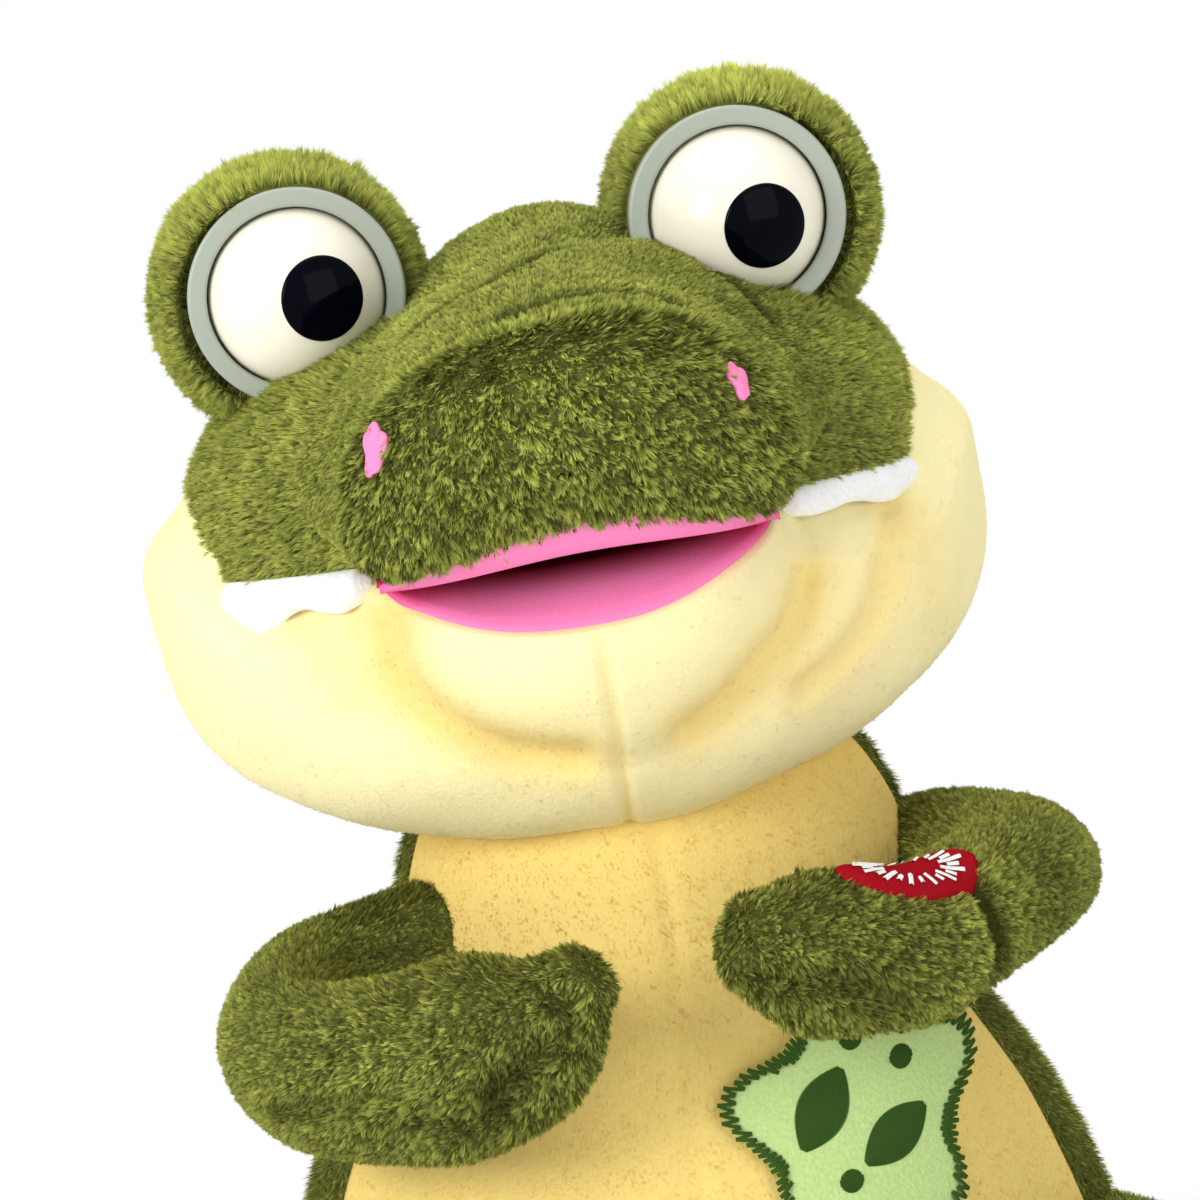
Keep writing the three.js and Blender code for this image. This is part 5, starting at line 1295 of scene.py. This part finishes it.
class CROCODILE_OT_eyes(bpy.types.Operator):
    """Turn the eyeballs, pupils, rings and hoods"""

    bl_idname = "crocodile.eyes"
    bl_label = "Eyes"

    def execute(self, context):
        for name in ("left", "right"):
            low, high = solid_box(f"eye_ring_{name}")
            centre = np.array([(low[0] + high[0]) / 2, low[1], (low[2] + high[2]) / 2])
            outer = (high[0] - low[0]) / 2
            self.hood(name, centre)
            self.ring(name, centre, outer)
            self.globe(name, centre + [0, EYE_SET, 0])
        return {"FINISHED"}

    def turned_rings(self, centre, profile, sides):
        """Rings of a profile of radius and y turned about the eye's front-to-back line."""
        turn = full_turn(sides)
        radius, y = np.asarray(profile, float).T
        x = radius[:, None] * np.cos(turn)
        z = radius[:, None] * np.sin(turn)
        return centre + np.stack([x, np.broadcast_to(y[:, None], x.shape), z], -1)

    def hood(self, name, centre):
        """A plush ball behind the ring: a round profile that stops at the ring and turns in behind it."""
        radius = size("hood_radius")
        rim = math.asin(HOOD["opening"] / radius)
        bow = np.linspace(0.02, math.pi - rim, 70)
        groove = [1.2 * math.exp(-((a - 1.15) / 0.06) ** 2) for a in bow]
        profile = [((radius - g) * math.sin(a), HOOD["set"] + (radius - g) * math.cos(a))
                   for a, g in zip(bow, groove)]
        profile += [(20.4, profile[-1][1] + 1.0), (20.2, 8), (0.5, 8.5)]
        outward = HOOD["outward"] if name == "left" else -HOOD["outward"]
        surface = closed_tube(self.turned_rings(centre + [outward, 0, -0.5], profile, 120))
        piece = put_mesh(f"hood_cloth_{name}", *surface, MATERIALS["green_plush_backing"])
        finish_piece(piece, "head", [f"eye_hood_{name}"])

        def shown(p):
            away = np.hypot(p[:, 0] - centre[0], p[:, 2] - centre[2])
            front = p[:, 1] < centre[1] + 30
            recess = away < HOOD["opening"]
            return (0.4 + 0.6 * front) * ~(recess & (p[:, 1] < centre[1] + 12)) * ~in_crown(p, 2)

        def nap(p, up):
            away = p - centre
            away[:, 1] = 0
            return unit(away) * 0.8 + np.array([0, 0.75, 0])

        # Painted highlight on the top of the hood, where the pile is also longer
        def fringe(p):
            return 0.8 * smooth_step(p[:, 2] - centre[2], 8, 24)

        fur = grow_pile(f"hood_pile_{name}", surface, MATERIALS["green_plush_pile"], nap, shown,
                        size("green_pile") * 1.25, size("strand"), 0.62, fringe=fringe)
        finish_piece(fur, "head")

    def ring(self, name, centre, outer):
        """A flat satin ring with rounded edges and a lip over the ball."""
        inner = outer - RING["lip"]
        wall = outer - RING["wall"]
        edge = RING["edge"]
        deep = RING["deep"]
        bow = np.linspace(0, math.pi / 2, 7)
        profile = [(wall, deep), (wall, 4.5), (inner, 2.6)]
        profile += [(inner + edge * (1 - math.cos(a)), edge * (1 - math.sin(a))) for a in bow]
        profile += [(outer - edge + edge * math.sin(a), edge * (1 - math.cos(a))) for a in bow]
        profile += [(outer, deep), (wall, deep)]
        sides = 128
        points = self.turned_rings(centre, profile, sides).reshape(-1, 3)
        faces = facing_out(points, grid_triangles(len(profile), sides, False, True))
        piece = put_mesh(f"ring_{name}", points, faces, MATERIALS["satin_ring_plastic"])
        finish_piece(piece, "head", [f"eye_ring_{name}"])

    def globe(self, name, centre):
        """A glossy ball, and a slightly raised round pupil near where the solid one sits."""
        radius = size("eye_radius")
        bow = np.linspace(0.01, math.pi * 0.62, 60)
        profile = [(radius * math.sin(a), -radius * math.cos(a)) for a in bow]
        profile.append((0.5, profile[-1][1]))
        form = closed_tube(self.turned_rings(centre, profile, 96))
        ball = put_mesh(f"globe_{name}", *form, MATERIALS["cream_gloss_plastic"])
        finish_piece(ball, f"eye_{name}", [f"eyeball_{name}"])
        low, high = solid_box(f"pupil_{name}")
        aim = unit(unit((low + high) / 2 - centre) + PUPIL_SHIFT[name])
        side = unit(np.cross(aim, [0, 0, 1]))
        rise = np.cross(side, aim)
        reach = math.asin(PUPIL_RADIUS / radius)
        polar = np.concatenate([np.linspace(0.01, reach, 24), [reach + 0.012, reach + 0.004, 0.01]])
        lift = np.concatenate([np.full(23, 0.35), [0.3, 0.05, -0.8, -0.8]]) + radius
        turn = full_turn(72)
        across = (np.sin(polar) * lift)[:, None]
        ahead = (np.cos(polar) * lift)[:, None] * np.ones_like(turn)
        points = centre + (across * np.cos(turn))[..., None] * side
        points = points + (across * np.sin(turn))[..., None] * rise
        points = points + ahead[..., None] * aim
        pupil = put_mesh(f"pupil_disc_{name}", *closed_tube(points), MATERIALS["black_gloss_plastic"])
        finish_piece(pupil, f"eye_{name}", [f"pupil_{name}"])


class CROCODILE_OT_limbs(bpy.types.Operator):
    """Stuff the arms, the legs and the tail"""

    bl_idname = "crocodile.limbs"
    bl_label = "Arms, legs and tail"

    def execute(self, context):
        for name, (_, tucks, body) in LIMBS.items():
            surface, middle = stuffed_limb(name)
            form = closed_tube(surface)
            crease = self.crease(tucks)
            piece = put_mesh(f"{name}_cloth", *form, MATERIALS["green_plush_backing"],
                             {"crease": crease(form[0])})
            finish_piece(piece, body, [f"{name}_plush"])
            fur = grow_pile(f"{name}_pile", form, MATERIALS["green_plush_pile"], self.nap_along(middle),
                            self.shown(name), self.length(crease), size("strand") * 0.95,
                            crease=crease, rough=self.rough, fringe=self.fringe(tucks))
            finish_piece(fur, body)
        return {"FINISHED"}

    def crease(self, tucks):
        """How dark and short the pile is in the narrow tucks: a painted shade, and shorter pile."""
        narrow = [tuck for tuck in tucks if tuck[1] < NARROW_TUCK]

        def mark(p):
            return 0.9 * np.clip(drawn_in(p, narrow) / 2.6, 0, 1) if narrow else np.zeros(len(p))
        return mark

    def fringe(self, tucks):
        """Shorter pile than on the head and painted darker than it, a painted shade, but longer beside the
        narrow tucks and painted paler there, a painted highlight.
        """
        near = [(line, width, 1.0) for line, width, _ in tucks if width < NARROW_TUCK]
        beside = [(line, 2.6 * width, 1.0) for line, width, _ in near]

        def extra(p):
            if not near:
                return np.full(len(p), -0.45)
            return 0.75 * (np.clip(drawn_in(p, beside), 0, 1) - np.clip(drawn_in(p, near), 0, 1)) - 0.5
        return extra

    def length(self, crease):
        """The pile is short in the creases."""
        def tall(p):
            return size("green_pile") * (1 - 0.55 * crease(p))
        return tall

    def rough(self, p):
        """The paws' pile is messier than the rest."""
        return 0.28 + 0.26 * smooth_step(-p[:, 1], 55, 78)

    def nap_along(self, centre):
        """Nap that lies back along the limb's middle line and hangs a little."""
        def nap(p, up):
            nearest = np.argmin(((p[:, None, :] - centre[None, ::6, :]) ** 2).sum(-1), axis=1) * 6
            along = centre[np.minimum(nearest + 3, len(centre) - 1)] - centre[np.maximum(nearest - 3, 0)]
            return np.array([0, 0, -0.6]) - unit(along)
        return nap

    def shown(self, name):
        """Not inside the body, on the floor or under the press patch."""
        def weight(p):
            width, depth, middle = body_section(p[:, 2])
            reach = np.hypot((p[:, 0] - body_lean(p[:, 2])) / width, (p[:, 1] - middle) / depth)
            outside = reach > 1.0
            if name == "arm_left":
                centre, along, across, up = press_place()
                away = p - centre
                oval = np.hypot(away @ along / PRESS["half_long"], away @ across / PRESS["half_round"])
                outside = outside & ((oval > 0.97) | (away @ up < -8))
            return outside * (p[:, 2] > 2.5) * (0.5 + 0.5 * smooth_step(reach, 1.0, 1.25))
        return weight


class CROCODILE_OT_patches(bpy.types.Operator):
    """Sew the belly patch and the press patch"""

    bl_idname = "crocodile.patches"
    bl_label = "Patches"

    def execute(self, context):
        self.belly_patch()
        self.press_patch()
        return {"FINISHED"}

    def on_belly(self, x, z, lift):
        """Points lifted off the body's front."""
        return np.stack([x, belly_front(x, z) - lift, z], -1)

    def outline(self, turn):
        """Rounded star: its radius as soft waves round the middle."""
        wave = 0.5 + 0.5 * np.cos(STAR["points"] * (turn - math.pi / 2))
        return STAR["inner"] + STAR["reach"] * wave ** 1.3

    def belly_patch(self):
        low, high = solid_box("belly_patch")
        middle_x, middle_z = (low[0] + high[0]) / 2, (low[2] + high[2]) / 2
        turn = full_turn(160)[None, :]
        reach = np.concatenate([np.linspace(0.01, 1, 26), [1.0]])[:, None]
        x = middle_x + reach * self.outline(turn) * np.cos(turn)
        z = middle_z + reach * self.outline(turn) * np.sin(turn)
        rise = np.concatenate([np.full(24, 2.4), [2.2, 1.6, 0.0]])[:, None]
        points = self.on_belly(x, z, rise + 0 * x)
        piece = put_mesh("belly_patch_felt", *closed_tube(points), MATERIALS["green_felt"])
        finish_piece(piece, "body", ["belly_patch"])

        # Zigzag of dark thread over the edge
        count = 210
        step = np.arange(count)
        angle = step / count * 2 * math.pi
        off = np.where(step % 2 == 0, -1.2, 1.9) + np.random.default_rng(71).normal(0, 0.35, count)
        radius = self.outline(angle) + off
        knots = np.stack([middle_x + radius * np.cos(angle), middle_z + radius * np.sin(angle)], -1)
        stitches = put_mesh("belly_patch_zigzag", *self.threads(knots, np.roll(knots, -1, 0), 0.7, 2.9),
                            MATERIALS["dark_thread"])
        finish_piece(stitches, "body")

        # Satin-stitched leaves and dots
        starts, ends = [], []
        for leaf_x, leaf_z, tilt, length, width in ((-7, 3, 0.9, 17, 5.0), (6, -5, 0.5, 16, 4.5)):
            t = np.linspace(0.04, 0.96, 44)
            half = width * np.sin(math.pi * t) ** 0.8
            along = np.array([math.cos(tilt), math.sin(tilt)])
            spine = np.array([leaf_x, leaf_z]) + ((t - 0.5) * length)[:, None] * along
            across = np.array([-math.sin(tilt), math.cos(tilt)])
            starts.append(spine - across * half[:, None])
            ends.append(spine + across * half[:, None])
        dot_radius = 2.2
        for dot_x, dot_z in ((10, 8), (-4, -11), (1, 14)):
            t = np.linspace(-0.95, 0.95, 14)
            half = dot_radius * np.sqrt(1 - t ** 2)
            starts.append(np.stack([dot_x + dot_radius * t, dot_z - half], -1))
            ends.append(np.stack([dot_x + dot_radius * t, dot_z + half], -1))
        middle = np.array([middle_x, middle_z])
        bars = self.threads(np.vstack(starts) + middle, np.vstack(ends) + middle, 0.5, 2.6)
        motif = put_mesh("belly_patch_motif", *bars, MATERIALS["dark_thread"])
        finish_piece(motif, "body")

    def threads(self, start, end, width, lift):
        """Straight stitches on the belly, each a thin raised bar."""
        t = np.linspace(0, 1, 5)
        path = start[:, None] * (1 - t)[None, :, None] + end[:, None] * t[None, :, None]
        side = unit(np.stack([-(end - start)[:, 1], (end - start)[:, 0]], -1))[:, None] * width / 2
        bow = lift + 0.5 * np.sin(math.pi * t)[None, :]
        rows = [self.on_belly((path + side * k)[..., 0], (path + side * k)[..., 1], bow - drop)
                for k, drop in ((-1, 0.35), (0, 0.0), (1, 0.35))]
        points = np.stack(rows, 2).reshape(-1, 3)
        faces = copied_faces(grid_triangles(len(t), len(rows), False, False), len(start), len(t) * len(rows))
        return points, facing(points, faces, np.array([0, -1, 0]))

    def press_patch(self):
        """A red oval that follows the arm's cloth, with a ring of short white stitches."""
        surface, _ = stuffed_limb("arm_left")
        centre, along, across, up = press_place()

        def place(u, v, lift):
            """Point u along the arm and v round it, on the nearest cloth and lifted off it."""
            flat = centre + u[..., None] * along + v[..., None] * across
            away = surface.reshape(-1, 3) - centre
            near = away[away @ up > -9]
            cloth_u, cloth_v, cloth_w = near @ along, near @ across, near @ up
            gap = (u[..., None] - cloth_u) ** 2 + (v[..., None] - cloth_v) ** 2
            share = np.exp(-gap / 20)
            height = (share * cloth_w).sum(-1) / share.sum(-1)
            return flat + (height + lift)[..., None] * up

        turn = full_turn(96)[None, :]
        reach = np.concatenate([np.linspace(0.01, 1, 20), [1.0]])[:, None]
        rise = np.concatenate([np.full(17, 2.2), [2.1, 1.9, 1.4, -1.0]])[:, None] + 0 * turn
        u = PRESS["half_long"] * reach * np.cos(turn)
        v = PRESS["half_round"] * reach * np.sin(turn)
        form = closed_tube(place(u, v, rise))
        patch = put_mesh("press_patch_felt", *form, MATERIALS["red_embroidery"])
        finish_piece(patch, "press", ["press_patch"])

        # Short white stitches, by turns longer and shorter
        bars = []
        rays = 26
        for k in range(rays):
            ray = k / rays * 2 * math.pi
            t = np.linspace(0.45 if k % 2 else 0.55, 0.8 if k % 2 else 0.72, 3)[:, None]
            side = np.linspace(-0.5, 0.5, 3)[None, :]
            u = PRESS["half_long"] * t * math.cos(ray) - side * math.sin(ray)
            v = PRESS["half_round"] * t * math.sin(ray) + side * math.cos(ray)
            bars.append(place(u, v, 2.7 - 0.6 * np.abs(side) + 0 * t).reshape(-1, 3))
        points = np.vstack(bars)
        faces = facing(points, copied_faces(grid_triangles(3, 3, False, False), rays, 9), up)
        stitches = put_mesh("press_patch_rays", points, faces, MATERIALS["white_velour"])
        finish_piece(stitches, "press")


class CROCODILE_OT_mechanism(bpy.types.Operator):
    """Give every hard piece that keeps its solid its plastic or metal"""

    bl_idname = "crocodile.mechanism"
    bl_label = "Mechanism"

    def execute(self, context):
        for name, code, roughness, metallic, pieces in HARD_PIECES:
            material = plastic_material(name, linear(code), roughness, metallic)
            for piece in pieces:
                node = bpy.data.objects[piece]
                node.data.materials.clear()
                node.data.materials.append(material)
        return {"FINISHED"}


class CROCODILE_OT_stage(bpy.types.Operator):
    """Set the floor, the studio light and the camera"""

    bl_idname = "crocodile.stage"
    bl_label = "Stage"

    def execute(self, context):
        scene = context.scene
        scene.view_settings.view_transform = "Standard"
        self.floor()
        self.world(scene)
        for name, (place, width, power) in LAMPS.items():
            self.lamp(name, place, width, power)
        self.camera(scene)
        return {"FINISHED"}

    def seen(self, tree):
        """1 for rays that see the background: from the camera, a reflection or clear plastic."""
        path = add_node(tree, "ShaderNodeLightPath")
        first = add_node(tree, "ShaderNodeMath", {"operation": "MAXIMUM"}, {
            0: path.outputs["Is Camera Ray"], 1: path.outputs["Is Glossy Ray"]})
        both = add_node(tree, "ShaderNodeMath", {"operation": "MAXIMUM"}, {
            0: first.outputs[0], 1: path.outputs["Is Transmission Ray"]})
        return both.outputs[0]

    def floor(self):
        """Pale floor that keeps the toy's shadow near it and runs out into the white background."""
        material, tree, shader = new_material("pale_floor", {
            "Base Color": (0.86, 0.86, 0.86, 1), "Roughness": 0.9})
        place = add_node(tree, "ShaderNodeTexCoord")
        length = add_node(tree, "ShaderNodeVectorMath", {"operation": "LENGTH"}, {0: place.outputs["Object"]})
        far = add_node(tree, "ShaderNodeMapRange", {"interpolation_type": "SMOOTHSTEP"}, {
            "Value": length.outputs["Value"], "From Min": FLOOR["from"], "From Max": FLOOR["to"]})
        both = add_node(tree, "ShaderNodeMath", {"operation": "MULTIPLY"}, {
            0: far.outputs[0], 1: self.seen(tree)})
        white = add_node(tree, "ShaderNodeEmission", inputs={"Color": (1, 1, 1, 1), "Strength": 1.0})
        mix = add_node(tree, "ShaderNodeMixShader", inputs={
            0: both.outputs[0], 1: shader.outputs["BSDF"], 2: white.outputs[0]})
        tree.links.new(mix.outputs[0], tree.nodes["Material Output"].inputs["Surface"])
        half = FLOOR["half"]
        corners = np.array([(x, y, FLOOR["z"]) for x, y in (
            (-half, -half), (half, -half), (half, half), (-half, half))])
        put_mesh("floor", corners, np.array([(0, 1, 2), (0, 2, 3)]), material)

    def world(self, scene):
        """White behind the toy, and a softer white as light."""
        world = bpy.data.worlds.new("studio")
        scene.world = world
        world.use_nodes = True
        tree = world.node_tree
        tree.nodes.clear()
        light = add_node(tree, "ShaderNodeBackground", inputs={
            "Color": (1, 1, 1, 1), "Strength": WORLD_LIGHT})
        white = add_node(tree, "ShaderNodeBackground", inputs={"Color": (1, 1, 1, 1), "Strength": 1.0})
        mix = add_node(tree, "ShaderNodeMixShader", inputs={
            0: self.seen(tree), 1: light.outputs[0], 2: white.outputs[0]})
        add_node(tree, "ShaderNodeOutputWorld", inputs={"Surface": mix.outputs[0]})

    def lamp(self, name, place, width, power):
        """Soft box turned towards the toy's head."""
        data = bpy.data.lights.new(name, "AREA")
        data.shape = "SQUARE"
        data.size = width
        data.energy = power
        lamp = bpy.data.objects.new(name, data)
        bpy.context.scene.collection.objects.link(lamp)
        away = np.array(place) - LAMP_AIM
        lamp.location = place
        lamp.rotation_euler = self.looking(away)

    def looking(self, away, roll=0.0):
        """Rotation of a lamp or camera that stands in direction away, looks back and is rolled."""
        back = unit(np.asarray(away, float))
        right = unit(np.cross([0, 0, 1], back))
        up = np.cross(back, right)
        turned_right = right * math.cos(roll) + up * math.sin(roll)
        turned_up = up * math.cos(roll) - right * math.sin(roll)
        matrix = np.column_stack([turned_right, turned_up, back])
        return Matrix(matrix.tolist()).to_euler()

    def camera(self, scene):
        data = bpy.data.cameras.new("camera")
        data.sensor_width = CAMERA["sensor"]
        data.lens = CAMERA["sensor"] * CAMERA["distance"] / CAMERA["frame"]
        camera = bpy.data.objects.new("camera", data)
        scene.collection.objects.link(camera)
        azimuth = math.radians(CAMERA["azimuth"])
        elevation = math.radians(CAMERA["elevation"])
        away = np.array([math.sin(azimuth) * math.cos(elevation), -math.cos(azimuth) * math.cos(elevation),
                         math.sin(elevation)])
        camera.location = (np.array(CAMERA["aim"]) + away * CAMERA["distance"]) * MM
        camera.rotation_euler = self.looking(away, -math.radians(CAMERA["roll"]))
        scene.camera = camera


class CROCODILE_PT_panel(bpy.types.Panel):
    """Sizes, colours and the steps of the crocodile"""

    bl_label = "Crocodile"
    bl_idname = "CROCODILE_PT_panel"
    bl_space_type = "VIEW_3D"
    bl_region_type = "UI"
    bl_category = "Crocodile"

    def draw(self, context):
        for group in (context.scene.crocodile_sizes, context.scene.crocodile_colours):
            for name in group.bl_rna.properties.keys():
                if name not in ("rna_type", "name"):
                    self.layout.prop(group, name)
        for step in STEPS:
            self.layout.operator(step.bl_idname)


STEPS = (
    CROCODILE_OT_materials,
    CROCODILE_OT_body,
    CROCODILE_OT_head,
    CROCODILE_OT_face,
    CROCODILE_OT_mouth,
    CROCODILE_OT_eyes,
    CROCODILE_OT_limbs,
    CROCODILE_OT_patches,
    CROCODILE_OT_mechanism,
    CROCODILE_OT_stage,
)
CLASSES = (CrocodileColours, CrocodileSizes, *STEPS, CROCODILE_PT_panel)


def register():
    for cls in CLASSES:
        bpy.utils.register_class(cls)
    bpy.types.Scene.crocodile_colours = bpy.props.PointerProperty(type=CrocodileColours)
    bpy.types.Scene.crocodile_sizes = bpy.props.PointerProperty(type=CrocodileSizes)


def unregister():
    del bpy.types.Scene.crocodile_sizes
    del bpy.types.Scene.crocodile_colours
    for cls in reversed(CLASSES):
        bpy.utils.unregister_class(cls)


def main():
    register()
    bpy.ops.crocodile.materials()
    bpy.ops.crocodile.body()
    bpy.ops.crocodile.head()
    bpy.ops.crocodile.face()
    bpy.ops.crocodile.mouth()
    bpy.ops.crocodile.eyes()
    bpy.ops.crocodile.limbs()
    bpy.ops.crocodile.patches()
    bpy.ops.crocodile.mechanism()
    bpy.ops.crocodile.stage()


if __name__ == "__main__":
    main()
